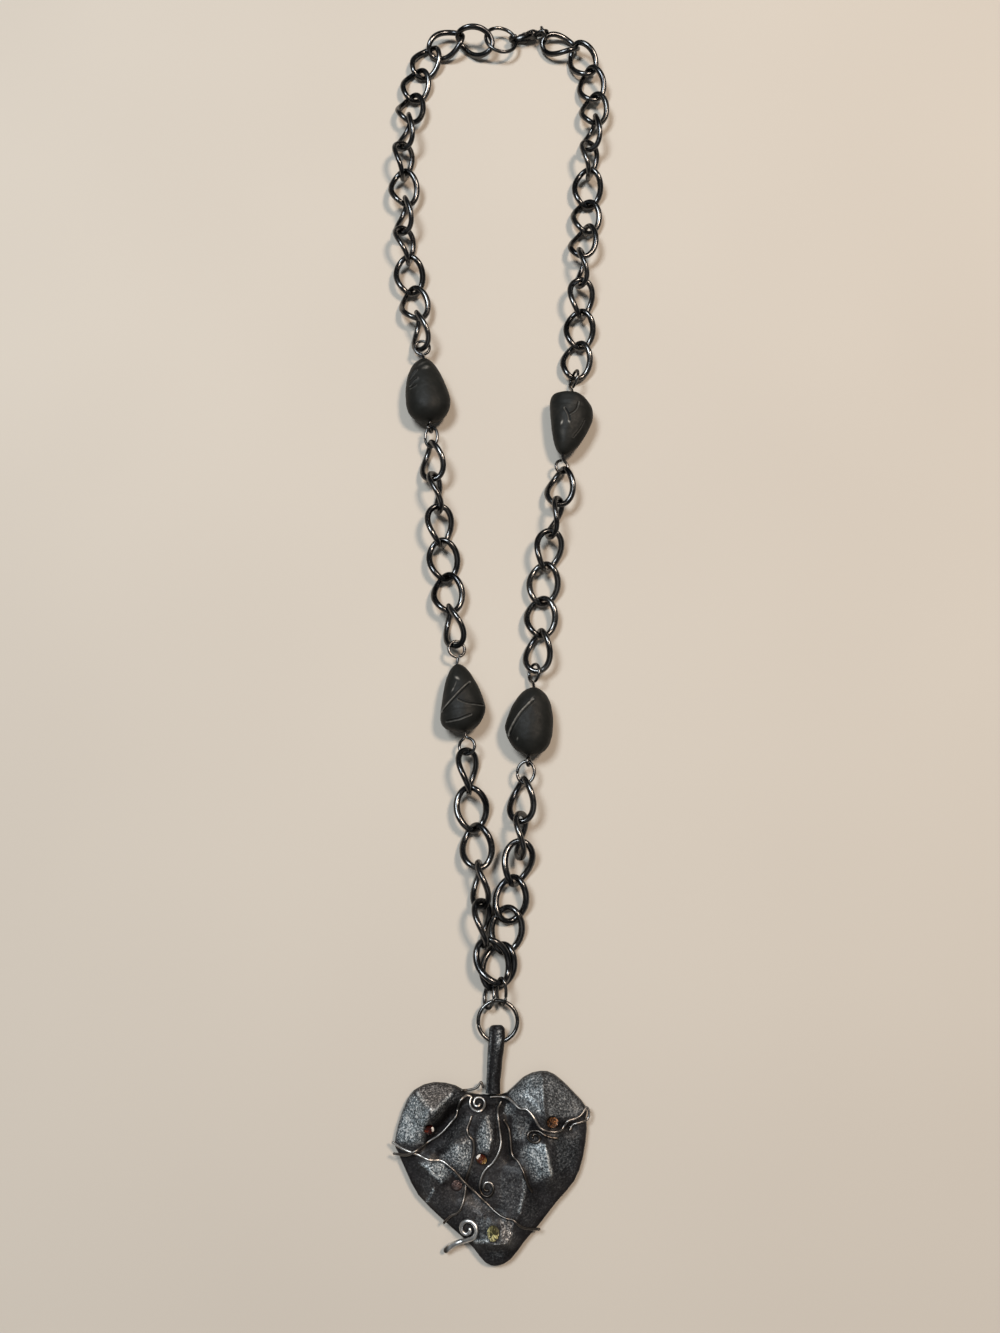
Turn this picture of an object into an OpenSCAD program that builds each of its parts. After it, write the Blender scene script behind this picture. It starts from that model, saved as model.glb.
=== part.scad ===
// Heart pendant necklace: a closed loop of twisted oval links with four carved stone beads,
// a claw clasp and a hand-shaped heart that hangs from a ring. It lies flat, seen from above.

/* [Chain] */
// Diameter of the wire that the links are bent from
link_wire = 1.15; // [1:0.05:1.15]
// Distance from joint to joint along a stretched chain
link_pitch = 9; // [8.95:0.05:9.05]
// Slack of a link in its joint
link_play = 0.45; // [0.45:0.05:0.55]
// Half the width of a link, to the middle of its wire
link_half_width = 3.75; // [3.65:0.05:3.75]
// Twist of a link from one end to the other, in degrees
link_twist = 66; // [62:1:70]

/* [Beads, pins and rings] */
// Thickness of a bead from face to back
bead_thick = 8.6; // [8.4:0.1:9]
// Bore along a bead
bead_bore = 1; // [0.9:0.05:1.2]
// Diameter of the wire of the pins and small rings
pin_wire = 0.65; // [0.5:0.05:0.65]
// Diameter of the wire of the ring that carries the pendant
pendant_ring_wire = 0.8; // [0.7:0.05:0.85]

/* [Clasp] */
// Diameter of the wire of the ring that the claw hooks on
clasp_ring_wire = 0.85; // [0.75:0.05:0.85]
// Thickness of the claw
claw_thick = 1.8; // [1.7:0.05:1.8]
// Thickness of the claw's lever
lever_thick = 0.9; // [0.7:0.05:0.95]
// Diameter of the pin that the lever turns on
lever_pin = 0.7; // [0.6:0.05:0.75]

/* [Heart] */
// Thickness of the heart at its rim
rim_thick = 2.4; // [2.2:0.1:2.8]
// Height that the middle of the heart swells above its rim
heart_swell = 2.2; // [1.8:0.1:2.6]
// Diameter of the wires laid over the heart
heart_wire = 0.6; // [0.5:0.05:0.65]
// Gap between a wire and what it lies on
wire_gap = 0.25; // [0.2:0.05:0.3]

/* [Hidden] */

// The middle of the laid necklace, which stands at the origin
middle = [-0.06, 26.69];

// Round wire is drawn with this many sides, and a link with this many steps round it
wire_sides = 5;
link_steps = 16;
link_half_length = link_pitch / 2 + (link_wire + link_play) / 2;

// Chains: where each starts, then a row for each link: x and y of its far joint, its roll, and how far
// it has slipped along the chain where the chain lies slack
chain_left_upper_start = [-3, 182];
chain_left_upper_rows = [
    [-11.5, 185, -52], [-19.5, 181.5, -8], [-23, 174.5, 0], [-25, 165.8, 0], [-25.5, 157, 5],
    [-26.8, 148.1, 60], [-27, 139.2, 120], [-26, 130.3, 180], [-26.4, 121.4, 240], [-25, 112.6, 300],
    [-24, 103.8, 355], [-22, 95.2, 370], [-20.7, 86.4, 425]];
chain_right_upper_start = [13, 184.5];
chain_right_upper_rows = [
    [21.6, 182, -10], [25.4, 174, 25], [26.5, 165.2, 25], [26.5, 156.3, 15], [25, 148, 60],
    [24.5, 140, 120], [24, 131.1, 180], [23.5, 122.5, 180], [22, 114, 205], [22, 105.1, 265],
    [21.5, 96.5, 325], [21.1, 87.6, 360], [19.7, 78.8, 370]];
chain_left_middle_start = [-18, 58];
chain_left_middle_rows = [
    [-17, 49.1, 45], [-15.6, 40.3, 95], [-15, 31.5, 140], [-13.6, 22.6, 170], [-12.6, 13.8, 185],
    [-10.8, 5, 240]];
chain_right_middle_start = [16, 51];
chain_right_middle_rows = [
    [15, 42.1, 30], [13, 33.5, 90], [11.5, 25, 145], [10.5, 16.5, 180], [10, 7.6, 185], [9, -1.3, 220]];
chain_left_lower_start = [-8, -22.5];
chain_left_lower_rows = [
    [-7.5, -31.4, 115], [-6, -40.3, 170], [-5, -49.2, 195], [-4.4, -58.1, 250], [-3.6, -67, 285],
    [0.9, -76, 350]];
chain_right_lower_start = [5.5, -29.5];
chain_right_lower_rows = [
    [5, -38, 225], [4.8, -45.5, 275, 0.5], [3.5, -52.5, 330, -0.4], [2, -60, 365, 0.7], [1.1, -68, 355],
    [-2, -76.8, 360]];
// The last joint of the left lower chain lies on the other chain by this much
lower_chain_lift = 2;

// Beads: x and y of the hole at the top and of the hole at the end, then for the left and for the
// right side the widest half width, where it lies as a share of the length, and the power of the
// curve above and below it
BEAD_LEFT_UPPER = [[-20, 82.4], [-18.25, 64.2], [5.9, 0.66, 2.4, 2.4], [6, 0.66, 1.2, 2.4]];
BEAD_RIGHT_UPPER = [[19.3, 71.9], [16.15, 55.1], [5.85, 0.19, 5, 1.1], [6.1, 0.36, 2.4, 1.3]];
BEAD_LEFT_LOWER = [[-10.6, -0.4], [-8.4, -17.5], [5.75, 0.77, 1.15, 2.5], [5.8, 0.67, 1.3, 1.6]];
BEAD_RIGHT_LOWER = [[8.3, -6.2], [7.05, -23.3], [6.5, 0.6, 1.4, 1.6], [5.4, 0.58, 2.3, 2.8]];
bead_sides = 14;
bead_rings = 11;

// Rings and eyes: x, y and z of the middle, heading, pitch and roll, half length and half width
// of the wire's middle line
EYE_LEFT_UPPER_TOP = [-20.6, 85.85, 4.1, 95, 0, 0, 1.95, 1.95];
EYE_LEFT_UPPER_END = [-18.15, 62.6, 4.3, 95, 0, 60, 1, 1];
EYE_RIGHT_UPPER_TOP = [19.5, 77.05, 3.2, 78.4, 0, -70, 2.5, 2.5];
EYE_RIGHT_UPPER_END = [16, 52.25, 3.35, 79, 0, 21, 1.7, 1.7];
EYE_LEFT_LOWER_TOP = [-10.7, 3.5, 3.85, 97, 0, 15.5, 2, 2];
EYE_LEFT_LOWER_END = [-8, -20.8, 4.05, 98, 0, -21, 2, 2];
EYE_RIGHT_LOWER_TOP = [8.4, -2.5, 3.4, 86, 0, -58, 2.25, 2.25];
EYE_RIGHT_LOWER_END = [6.85, -24.6, 4.3, 86, 0, 70, 0.95, 0.95];
JUMP_RING_LEFT = [-17.8, 60.1, 4.4, 91.5, 4, -19, 2.7, 1.7];
JUMP_RING_RIGHT = [6.2, -27.2, 4.25, 82, 3, -5.5, 2.6, 2.05];
CLASP_RING = [0.25, 184, 3.55, 13.5, -12, -3.5, 4.45, 4.45];
CLASP_JUMP_RING = [12.6, 186.05, 3.2, 107.5, -12, 78, 1.95, 2.1];
PENDANT_RING = [-0.5, -84.3, 2.4, 90, 0, 0, 4.5, 4.5];
PENDANT_JUMP_RING_LEFT = [-2.5, -78.85, 1.9, 84, -7, 128, 2.8, 1.75];
PENDANT_JUMP_RING_RIGHT = [0.35, -77.8, 3.55, 86, 27, 125, 3.35, 1.85];
ring_steps = 16;
ring_sides = 5;
// Eyes at the ends of a pin: steps round one, how far its end stays from its neck, and the neck
eye_steps = 12;
eye_opening = 0.95;
eye_neck = 0.45;

// The claw lies in its own plane: u along it from the tip, v across it, w through it
claw_place = [2.5, 185.15, 2.55];
claw_heading = 13;
claw_roll = -64;
tip_middle = [2.15, 0];
tip_outer = 2.15;
tip_inner = 1.35;
base_middle = [6.7, 0];
base_radius = 1.9;
hinge_at = [6.6, -0.3];
hub_radius = 1;
lever_reach = 3.7;
hook_clear = 0.2;
lever_clear = 0.12;
slot_clear = 0.2;
claw_eye_at = [9.8, 0];
claw_eye_radius = 1.6;
claw_eye_wire = 0.85;
thumb_middle = [6, -2.6];
thumb_radius = 0.75;
// Outlines in the claw's plane: the arm from tip to base, the mouth cut out of it, and the lever
CLAW_ARM = [[2, 2.15], [4.4, 2.25], [6.8, 1.9], [6.8, 0.4], [4.5, 1], [2, 1]];
CLAW_MOUTH = [[2, 1.35], [3.5, 1.35], [5.2, 0.8], [5.2, -3], [2.9, -3], [2.9, 0], [2, 0]];
LEVER_ARM = [[2.5, -1.15], [4.5, -1.1], [6.2, 0.3], [7.2, -1.1], [6.6, -2.4], [4.5, -2.05], [2.5, -2]];

// The heart's outline, from the dip between the lobes round to the left
HEART_MIDDLE = [-1.8, -112];
HEART_OUTLINE = [
    [-2, -100.3], [-7, -99.9], [-10.2, -98.3], [-15, -97.6], [-19.5, -99.3], [-22, -103.5], [-23.7, -110],
    [-22.9, -112.4], [-21, -116.3], [-18.2, -121.2], [-12.8, -126.1], [-8.6, -129.5], [-5.8, -132],
    [-3.2, -134.9], [-0.5, -135.5], [2.4, -134.2], [5.5, -130.5], [8.5, -127.4], [12.5, -122.7],
    [16.6, -118.3], [18.6, -113.5], [19.6, -107.5], [19.4, -105.2], [19.6, -103], [16.6, -99.6],
    [12.4, -95.9], [9.2, -95.2], [5.5, -96.4], [1.6, -99.8]];
heart_sides = 64;
heart_rings = 12;
// The flat back, and the top's own edge, as shares of the outline, and the edge's height as a share
// of the rim
heel_share = 0.96;
top_share = 0.985;
edge_share = 0.45;

// Folds of the heart: x and y of one end and of the other, height, and half width. The first are
// creases with straight flanks, the others are round swells, or hollows where the height is negative
HEART_CREASES = [
    [-15.6, -102.9, -19.6, -100.6, 2.4, 4.5], [-15.6, -102.9, -11.8, -99.8, 2, 4],
    [-15.6, -102.9, -19.8, -108.6, 1.9, 4], [9.4, -96.5, 9.9, -104, 2.6, 6.5],
    [10, -110.2, 10.9, -116.4, 1.9, 4.5], [4.2, -117, 4.8, -124.5, 1.1, 4],
    [-15.2, -115.6, -15.8, -119.4, 1.5, 4], [-4.5, -130.3, 1.8, -129.8, 1, 2.5]];
HEART_SWELLS = [
    [-3.4, -105.6, -3.2, -110.6, 1.8, 2], [-8.9, -110.5, -9.2, -113, 1.5, 2.6],
    [7.4, -111.2, 8.2, -114, 0.8, 2.4], [-1, -127, 0, -128.5, 1.4, 3.4],
    [-15.8, -121.4, -14, -123, 0.6, 1.8], [-7, -101.5, 0.5, -101.5, -1.6, 2],
    [-9.6, -103, -16.2, -109.6, -1.7, 1.9], [1.4, -103, 2.2, -112.5, -1.1, 1.5],
    [6, -106.4, 10.5, -108.2, -1.2, 1.7], [12, -106.2, 16, -106.8, -1.3, 1.6],
    [-13.5, -113.2, -5.5, -119.6, -0.9, 1.6], [-6.4, -121, -1, -123.6, -0.7, 1.6],
    [-10.2, -118.4, -9.4, -121, -0.5, 1.6]];

// Wires over the heart: x and y of the points that each passes, and its lift off the heart there
// where one crosses another or runs out over the rim
WIRE_DIAGONAL = [
    [-24, -110.1], [-21.7, -111.2], [-18.3, -112.3], [-15.6, -113.3], [-12.9, -113.6], [-10.4, -115.2, 0.5],
    [-7.9, -117.8, 1], [-5, -120.4, 0.5], [-2.9, -122.3], [-0.8, -124], [1.2, -125], [2.9, -125.4],
    [4.7, -127], [6.7, -127.6], [8.6, -127.9]];
WIRE_LEFT = [
    [-23.6, -112.4, 0.4], [-20.8, -112.4, 0.9], [-19, -111.6, 0.9], [-17.2, -110.6], [-15.8, -109.8],
    [-13.2, -108.1], [-11.3, -106.2], [-9.9, -104.6], [-9.5, -103], [-9.1, -101.6], [-8.3, -100.6],
    [-7.4, -100.2]];
WIRE_MIDDLE_LEFT = [
    [-6.4, -104.4], [-6.8, -105.6], [-7.3, -107], [-6.9, -108.2], [-6, -109.2], [-5.8, -111], [-6.3, -113.5],
    [-7, -115.8], [-7.5, -117.4], [-7.6, -119], [-7.8, -120.8], [-8.4, -122.8], [-9.3, -124.1],
    [-10.8, -124.9], [-12.3, -126.5]];
WIRE_MIDDLE = [
    [0.2, -101.6], [-0.5, -103], [-0.4, -105], [-0.1, -107.1], [0.2, -109.8], [-0.4, -112], [-1.7, -114],
    [-2.9, -115], [-3.8, -116.2], [-4.4, -117.8]];
WIRE_MIDDLE_RIGHT = [
    [0.9, -105.3], [1.9, -107], [2.3, -109.2], [2.7, -112.4], [4, -113.7], [5, -115.3], [5.6, -117],
    [6.2, -118.6], [6.9, -119.7]];
WIRE_RIGHT = [
    [-2.1, -100.6], [-0.5, -100.5], [1.3, -100.7], [2.3, -101.1], [3.3, -101.8], [4.4, -102.7], [6, -102.8],
    [7.5, -104.4], [9, -106.6], [11.2, -107.5], [13.4, -107.4], [14.4, -106.4], [15.2, -105.4],
    [17.1, -104.9], [18.3, -104.1], [19.5, -102.8], [20.1, -103.9], [19.6, -105.3], [18, -105.8],
    [16.4, -106.3], [15.6, -107.4]];
WIRE_RIGHT_CURL = [[12.6, -108.8], [11.2, -108.6], [10, -108.2]];
WIRE_SPIRAL_TAIL = [[-11.8, -132.3, -1.1], [-10.5, -131.2, -0.6], [-9.2, -130.5], [-7.8, -130.1]];
WIRE_STEM = [
    [-8.6, -99.2, -0.1], [-6.9, -99.1, -0.1], [-5.2, -98.6, -0.1], [-4.3, -97.5, -0.2], [-3.9, -98.5, -0.2]];
// Spirals that the wires end in: x and y of the middle, outer half widths in x and y, angle of the
// outer end, turns and the sense they run in
SPIRAL_LEFT = [-4.9, -101.8, 1.9, 1.75, 140, 1.5, 1];
SPIRAL_MIDDLE = [-2.8, -119.1, 1.7, 1.9, 180, 1.3, 1];
SPIRAL_CURL = [7.7, -108.6, 2, 1.4, 45, 1.4, 1];
SPIRAL_LOWER = [-7.1, -127.5, 2.1, 2.1, -70, 1.2, 1];
spiral_steps = 10;

// Stones on the heart: x and y, half length, half width, turn, and height of the girdle over the heart
STONE_LEFT = [-15.8, -107.2, 1.1, 1.1, 0, 0.2];
STONE_MIDDLE = [-4.1, -113.2, 1.25, 1.05, -30, 0.25];
STONE_RIGHT = [11.7, -105.6, 1.3, 1.15, 20, 0.25];
STONE_LOWER_LEFT = [-9.6, -118.8, 1.25, 1.15, 0, 0.15];
STONE_LOWER = [-1.5, -127.9, 1.35, 1.65, 0, 0.35];
stone_sides = 10;
stone_crown = 0.75;
stone_pavilion = 0.9;
stone_table = 0.55;
pocket_gap = 0.12;

// The stem: x, y and z of its middle line and its radius, a row for each section
STEM_ROWS = [
    [-0.6, -85.1, 2.5, 0.9], [-0.6, -85.4, 2.5, 1.45], [-0.65, -86.2, 2.4, 1.85], [-0.8, -89, 2.3, 1.9],
    [-1.1, -92, 2.15, 1.8], [-1.35, -95, 2.1, 1.7], [-1.55, -98, 2.1, 1.65], [-1.6, -99.9, 2.1, 1.7]];
stem_sides = 10;
// The bore for the ring runs along the chord of the ring inside the stem
stem_bore = 1.7;
stem_bore_at = [-0.8, -88.55];
stem_bore_heading = -3;

// Vectors
function unit(v) = v / norm(v);
function sum(list, k = 0) = k == len(list) - 1 ? list[k] : list[k] + sum(list, k + 1);
function ahead_of(heading, pitch) = [cos(heading) * cos(pitch), sin(heading) * cos(pitch), sin(pitch)];
function side_of(ahead) = unit(cross([0, 0, 1], ahead));
function rolled(p, roll) = [p[0], p[1] * cos(roll) - p[2] * sin(roll), p[1] * sin(roll) + p[2] * cos(roll)];
function placed(p, at, ahead) =
    let (side = side_of(ahead), up = cross(ahead, side))
    at + p[0] * ahead + p[1] * side + p[2] * up;

// A smooth curve through the points of a closed or of an open list, with one more between each two
function curve_point(a, b, c, d, t) =
    0.5 * (2 * b + (c - a) * t + (2 * a - 5 * b + 4 * c - d) * t * t + (3 * b - a - 3 * c + d) * t * t * t);
function closed_curve(list) =
    let (n = len(list))
    [for (k = [0:n - 1]) for (t = [0, 0.5])
        curve_point(list[(k + n - 1) % n], list[k], list[(k + 1) % n], list[(k + 2) % n], t)];
function open_curve(list) =
    let (last = len(list) - 1)
    [for (k = [0:last - 1]) each [for (t = [0, 0.5])
        curve_point(list[max(k - 1, 0)], list[k], list[k + 1], list[min(k + 2, last)], t)], list[last]];

// The middle line of a link round its own centre
function link_point(angle) =
    let (lean = -link_twist / 2 * cos(angle), reach = link_half_width * sin(angle))
    [link_half_length * cos(angle), reach * cos(lean), reach * sin(lean)];
function link_height(roll) =
    let (line = [for (k = [0:link_steps - 1]) rolled(link_point(360 * k / link_steps), roll)])
    max([for (p = line) abs(p[2])]) + link_wire / 2;

// Joints of a chain: each lies a pitch or less from the one before it, towards its row
function step_towards(from, row) =
    let (way = [row[0], row[1]] - from) from + min(link_pitch, norm(way)) * unit(way);
function flat_joints(start, rows) =
    [for (k = 0, at = start; k <= len(rows); at = k < len(rows) ? step_towards(at, rows[k]) : at, k = k + 1)
        at];
function joint_height(rows, k) =
    k == 0 ? link_height(rows[0][2])
    : k == len(rows) ? link_height(rows[k - 1][2])
    : max(link_height(rows[k - 1][2]), link_height(rows[k][2]));
function joints(start, rows, lift) =
    let (flat = flat_joints(start, rows))
    [for (k = [0:len(rows)]) [flat[k][0], flat[k][1], joint_height(rows, k) + (k == len(rows) ? lift : 0)]];

// A round wire swept along a loop or along an open line of points
function ring_of_points(at, along, outward, wire, sides) =
    let (across = cross(along, outward))
    [for (k = [0:sides - 1])
        at + wire / 2 * (cos(360 * k / sides) * outward + sin(360 * k / sides) * across)];
function flat_to(v, along) = unit(v - (v * along) * along);
function band_faces(rings, sides, closed) =
    [for (k = [0:rings - (closed ? 1 : 2)]) for (m = [0:sides - 1])
        let (a = k * sides, b = ((k + 1) % rings) * sides, n = (m + 1) % sides)
        each [[a + m, b + m, b + n], [a + m, b + n, a + n]]];

module wire_loop(points, wire, sides) {
    count = len(points);
    centre = sum(points) / count;
    rings = [for (k = [0:count - 1])
        let (along = unit(points[(k + 1) % count] - points[(k + count - 1) % count]))
        each ring_of_points(points[k], along, flat_to(points[k] - centre, along), wire, sides)];
    polyhedron(rings, band_faces(count, sides, true));
}

// Directions along an open line, and a crosswise direction carried along it without twist
function ways_along(points) =
    let (last = len(points) - 1)
    [for (k = [0:last]) unit(points[min(k + 1, last)] - points[max(k - 1, 0)])];
function carried(ways) =
    let (start = abs(ways[0][2]) > 0.9 ? [1, 0, 0] : [0, 0, 1])
    [for (k = 0, v = flat_to(start, ways[0]); k < len(ways);
        v = k + 1 < len(ways) ? flat_to(v, ways[k + 1]) : v, k = k + 1) v];

module wire_run(points, wire, sides) {
    count = len(points);
    ways = ways_along(points);
    tops = carried(ways);
    rings = [for (k = [0:count - 1]) each ring_of_points(points[k], ways[k], tops[k], wire, sides)];
    start_face = [for (m = [0:sides - 1]) m];
    end_face = [for (m = [sides - 1:-1:0]) (count - 1) * sides + m];
    polyhedron(rings, concat(band_faces(count, sides, false), [start_face], [end_face]));
}

module laid() {
    translate([-middle[0], -middle[1], 0]) children();
}

module chain(start, rows, lift = 0) {
    places = joints(start, rows, lift);
    for (k = [0:len(rows) - 1]) {
        ahead = unit(places[k + 1] - places[k]);
        slip = len(rows[k]) > 3 ? rows[k][3] : 0;
        at = (places[k] + places[k + 1]) / 2 + slip * ahead;
        wire_loop([for (m = [0:link_steps - 1])
            placed(rolled(link_point(360 * m / link_steps), rows[k][2]), at, ahead)], link_wire, wire_sides);
    }
}

// Bead: the share of its widest half width that one side has at a share t of the length
function side_share(t, side) =
    t < side[1]
    ? sqrt(max(0, 1 - pow((side[1] - t) / side[1], side[2])))
    : sqrt(max(0, 1 - pow((t - side[1]) / (1 - side[1]), side[3])));
function bead_point(bead, t, angle) =
    let (left = side_share(t, bead[2]), right = side_share(t, bead[3]),
         across = cos(angle) < 0 ? left * bead[2][0] : right * bead[3][0],
         high = bead_thick / 2 * pow(max(left, right), 0.8))
    [(1 - t) * norm(bead[0] - bead[1]), -across * cos(angle), high * sin(angle)];
function bead_heading(bead) = atan2(bead[0][1] - bead[1][1], bead[0][0] - bead[1][0]);
function bead_at(bead, p) =
    placed(p, [bead[1][0], bead[1][1], bead_thick / 2], ahead_of(bead_heading(bead), 0));

module bead(bead) {
    length = norm(bead[0] - bead[1]);
    shares = [for (k = [1:bead_rings]) (1 - cos(180 * k / (bead_rings + 1))) / 2];
    body = [for (t = shares) for (m = [0:bead_sides - 1])
        bead_at(bead, bead_point(bead, t, 360 * m / bead_sides))];
    count = len(body);
    top = [for (m = [0:bead_sides - 1]) [count, m, (m + 1) % bead_sides]];
    last = (bead_rings - 1) * bead_sides;
    end = [for (m = [0:bead_sides - 1]) [count + 1, last + (m + 1) % bead_sides, last + m]];
    difference() {
        polyhedron(concat(body, [bead_at(bead, [length, 0, 0]), bead_at(bead, [0, 0, 0])]),
            concat(band_faces(bead_rings, bead_sides, false), top, end));
        translate([bead[1][0], bead[1][1], bead_thick / 2])
            rotate([0, 90, bead_heading(bead)])
                translate([0, 0, -length / 2]) cylinder(h = 2 * length, d = bead_bore, $fn = 32);
    }
}

module round_ring(row, wire) {
    translate([row[0], row[1], row[2]]) rotate([0, 0, row[3]]) rotate([0, -row[4], 0]) rotate([row[5], 0, 0])
        rotate_extrude($fn = 48) translate([row[6], 0]) circle(d = wire, $fn = 24);
}

module oval_ring(row, wire) {
    ahead = ahead_of(row[3], row[4]);
    wire_loop([for (k = [0:ring_steps - 1])
        let (angle = 360 * k / ring_steps, p = [row[6] * cos(angle), row[7] * sin(angle), 0])
        placed(rolled(p, row[5]), [row[0], row[1], row[2]], ahead)], wire, ring_sides);
}

// A pin is one bent wire: an eye, a neck, the run through its bead, a neck and the other eye
function eye_point(eye, p) =
    placed(rolled(p, eye[5]), [eye[0], eye[1], eye[2]], ahead_of(eye[3], eye[4]));
function eye_line(eye, root) =
    let (radius = eye[6], first = root + 2 * asin(eye_opening / 2 / radius), last = root + 330)
    concat([for (k = [0:eye_steps])
        let (angle = first + (last - first) * k / eye_steps)
        eye_point(eye, [radius * cos(angle), radius * sin(angle), 0])],
        [eye_point(eye, [(radius + eye_neck) * cos(root), 0, 0])]);
function backwards(list) = [for (k = [len(list) - 1:-1:0]) list[k]];

module pin(bead, top_eye, end_eye) {
    top = bead_at(bead, [norm(bead[0] - bead[1]), 0, 0]);
    end = bead_at(bead, [0, 0, 0]);
    line = concat(eye_line(top_eye, 180), [top, end], backwards(eye_line(end_eye, 0)));
    wire_run(line, pin_wire, wire_sides);
}

module in_claw() {
    translate(claw_place) rotate([0, 0, claw_heading]) rotate([claw_roll, 0, 0]) children();
}

module claw_outline() {
    difference() {
        union() {
            translate(tip_middle) circle(r = tip_outer, $fn = 48);
            translate(base_middle) circle(r = base_radius, $fn = 48);
            polygon(CLAW_ARM);
        }
        translate(tip_middle) circle(r = tip_inner, $fn = 48);
        polygon(CLAW_MOUTH);
        translate(hinge_at) intersection() {
            circle(r = lever_reach + hook_clear, $fn = 64);
            translate([-2 * lever_reach, -2 * lever_reach])
                square([2 * lever_reach - hub_radius, 2 * lever_reach]);
        }
    }
}

// The slot that the lever lies in, open below and towards the hook
module square_slot(edge) {
    translate([-lever_reach, -lever_reach]) square([lever_reach + edge, lever_reach + edge]);
}

module lever_outline() {
    intersection() {
        translate(hinge_at) circle(r = lever_reach, $fn = 64);
        union() {
            translate(hinge_at) circle(r = hub_radius, $fn = 48);
            polygon(LEVER_ARM);
            translate(thumb_middle) circle(r = thumb_radius, $fn = 32);
        }
    }
}

module clasp_claw() {
    color("dimgray") laid() in_claw() {
        difference() {
            linear_extrude(claw_thick, center = true) claw_outline();
            linear_extrude(lever_thick + 2 * lever_clear, center = true)
                translate(hinge_at) square_slot(hub_radius + slot_clear);
        }
        translate([hinge_at[0], hinge_at[1], 0])
            cylinder(h = claw_thick, d = lever_pin, center = true, $fn = 32);
        translate([claw_eye_at[0], claw_eye_at[1], 0])
            rotate_extrude($fn = 48) translate([claw_eye_radius, 0]) circle(d = claw_eye_wire, $fn = 24);
    }
}

module clasp_lever() {
    color("gray") laid() in_claw() difference() {
        linear_extrude(lever_thick, center = true) lever_outline();
        translate([hinge_at[0], hinge_at[1], 0])
            cylinder(h = claw_thick, d = lever_pin + 2 * lever_clear, center = true, $fn = 32);
    }
}

// Heart: the outline's point at an angle round the middle
function cross_flat(a, b) = a[0] * b[1] - a[1] * b[0];
heart_curve = [for (p = closed_curve(HEART_OUTLINE)) p - HEART_MIDDLE];
function rim_hit(angle, a, b) =
    let (way = [cos(angle), sin(angle)], edge = b - a, det = cross_flat(way, edge))
    abs(det) < 0.0001 ? -1
    : let (far = cross_flat(a, edge) / det, share = cross_flat(a, way) / det)
    share >= 0 && share <= 1 && far > 0 ? far : -1;
function rim_distance(angle) =
    max([for (k = [0:len(heart_curve) - 1])
        rim_hit(angle, heart_curve[k], heart_curve[(k + 1) % len(heart_curve)])]);

// Distance from a point to a fold, and the height of the heart there
function off_line(p, row) =
    let (a = [row[0], row[1]], way = [row[2], row[3]] - a, share = (p - a) * way / (way * way))
    norm(p - a - max(0, min(1, share)) * way);
function relief(p) =
    sum([for (row = HEART_CREASES) row[4] * max(0, 1 - off_line(p, row) / row[5])])
    + sum([for (row = HEART_SWELLS) row[4] * exp(-pow(off_line(p, row) / row[5], 2))]);
function heart_height(p) =
    let (v = p - HEART_MIDDLE, share = norm(v) < 0.01 ? 0 : min(1, norm(v) / rim_distance(atan2(v[1], v[0]))))
    rim_thick + (heart_swell + relief(p)) * (1 - pow(share, 6));

module heart_body() {
    ways = [for (k = [0:heart_sides - 1]) let (angle = 360 * k / heart_sides) [cos(angle), sin(angle)]];
    rims = [for (k = [0:heart_sides - 1]) rim_distance(360 * k / heart_sides) * ways[k]];
    bottom = [for (rim = rims) let (p = HEART_MIDDLE + heel_share * rim) [p[0], p[1], 0]];
    edge = [for (rim = rims) let (p = HEART_MIDDLE + rim) [p[0], p[1], rim_thick * edge_share]];
    top = [for (j = [0:heart_rings - 1]) for (rim = rims)
        let (p = HEART_MIDDLE + top_share * pow(1 - j / heart_rings, 0.8) * rim)
        [p[0], p[1], heart_height(p)]];
    points = concat(bottom, edge, top, [[HEART_MIDDLE[0], HEART_MIDDLE[1], heart_height(HEART_MIDDLE)]]);
    last = (heart_rings + 1) * heart_sides;
    base = [for (k = [0:heart_sides - 1]) k];
    cap = [for (k = [0:heart_sides - 1]) [last + k, len(points) - 1, last + (k + 1) % heart_sides]];
    polyhedron(points, concat([base], band_faces(heart_rings + 2, heart_sides, false), cap));
}

function stone_height(row) = heart_height([row[0], row[1]]) + row[5];

module heart() {
    color("darkslategray") laid() difference() {
        heart_body();
        for (row = [STONE_LEFT, STONE_MIDDLE, STONE_RIGHT, STONE_LOWER_LEFT, STONE_LOWER])
            translate([row[0], row[1], stone_height(row) - stone_pavilion - pocket_gap])
                cylinder(h = 5, r = max(row[2], row[3]) + pocket_gap, $fn = 32);
    }
}

module stone(row, tint) {
    function ring(share, high) = [for (k = [0:stone_sides - 1])
        let (angle = 360 * k / stone_sides, x = row[2] * share * cos(angle), y = row[3] * share * sin(angle))
        [x * cos(row[4]) - y * sin(row[4]), x * sin(row[4]) + y * cos(row[4]), high]];
    points = concat(ring(0.25, -stone_pavilion), ring(1, -0.1), ring(1, 0.1), ring(stone_table, stone_crown));
    low = [for (k = [0:stone_sides - 1]) k];
    high = [for (k = [stone_sides - 1:-1:0]) 3 * stone_sides + k];
    color(tint) laid() translate([row[0], row[1], stone_height(row)])
        polyhedron(points, concat([low], band_faces(4, stone_sides, false), [high]));
}

// A wire lies on the highest part of the heart under and beside it, and its lift above that
function on_heart(p) =
    let (at = [p[0], p[1]])
    [p[0], p[1], p[2] + heart_wire / 2 + wire_gap
        + max([for (way = [[0, 0], [1, 0], [-1, 0], [0, 1], [0, -1]]) heart_height(at + heart_wire * way)])];
function spiral(row) =
    let (count = ceil(spiral_steps * row[5]))
    [for (k = [0:count])
        let (share = 1 - 0.75 * k / count, angle = row[4] + row[6] * 360 * row[5] * k / count)
        [row[0] + row[2] * share * cos(angle), row[1] + row[3] * share * sin(angle)]];

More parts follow.
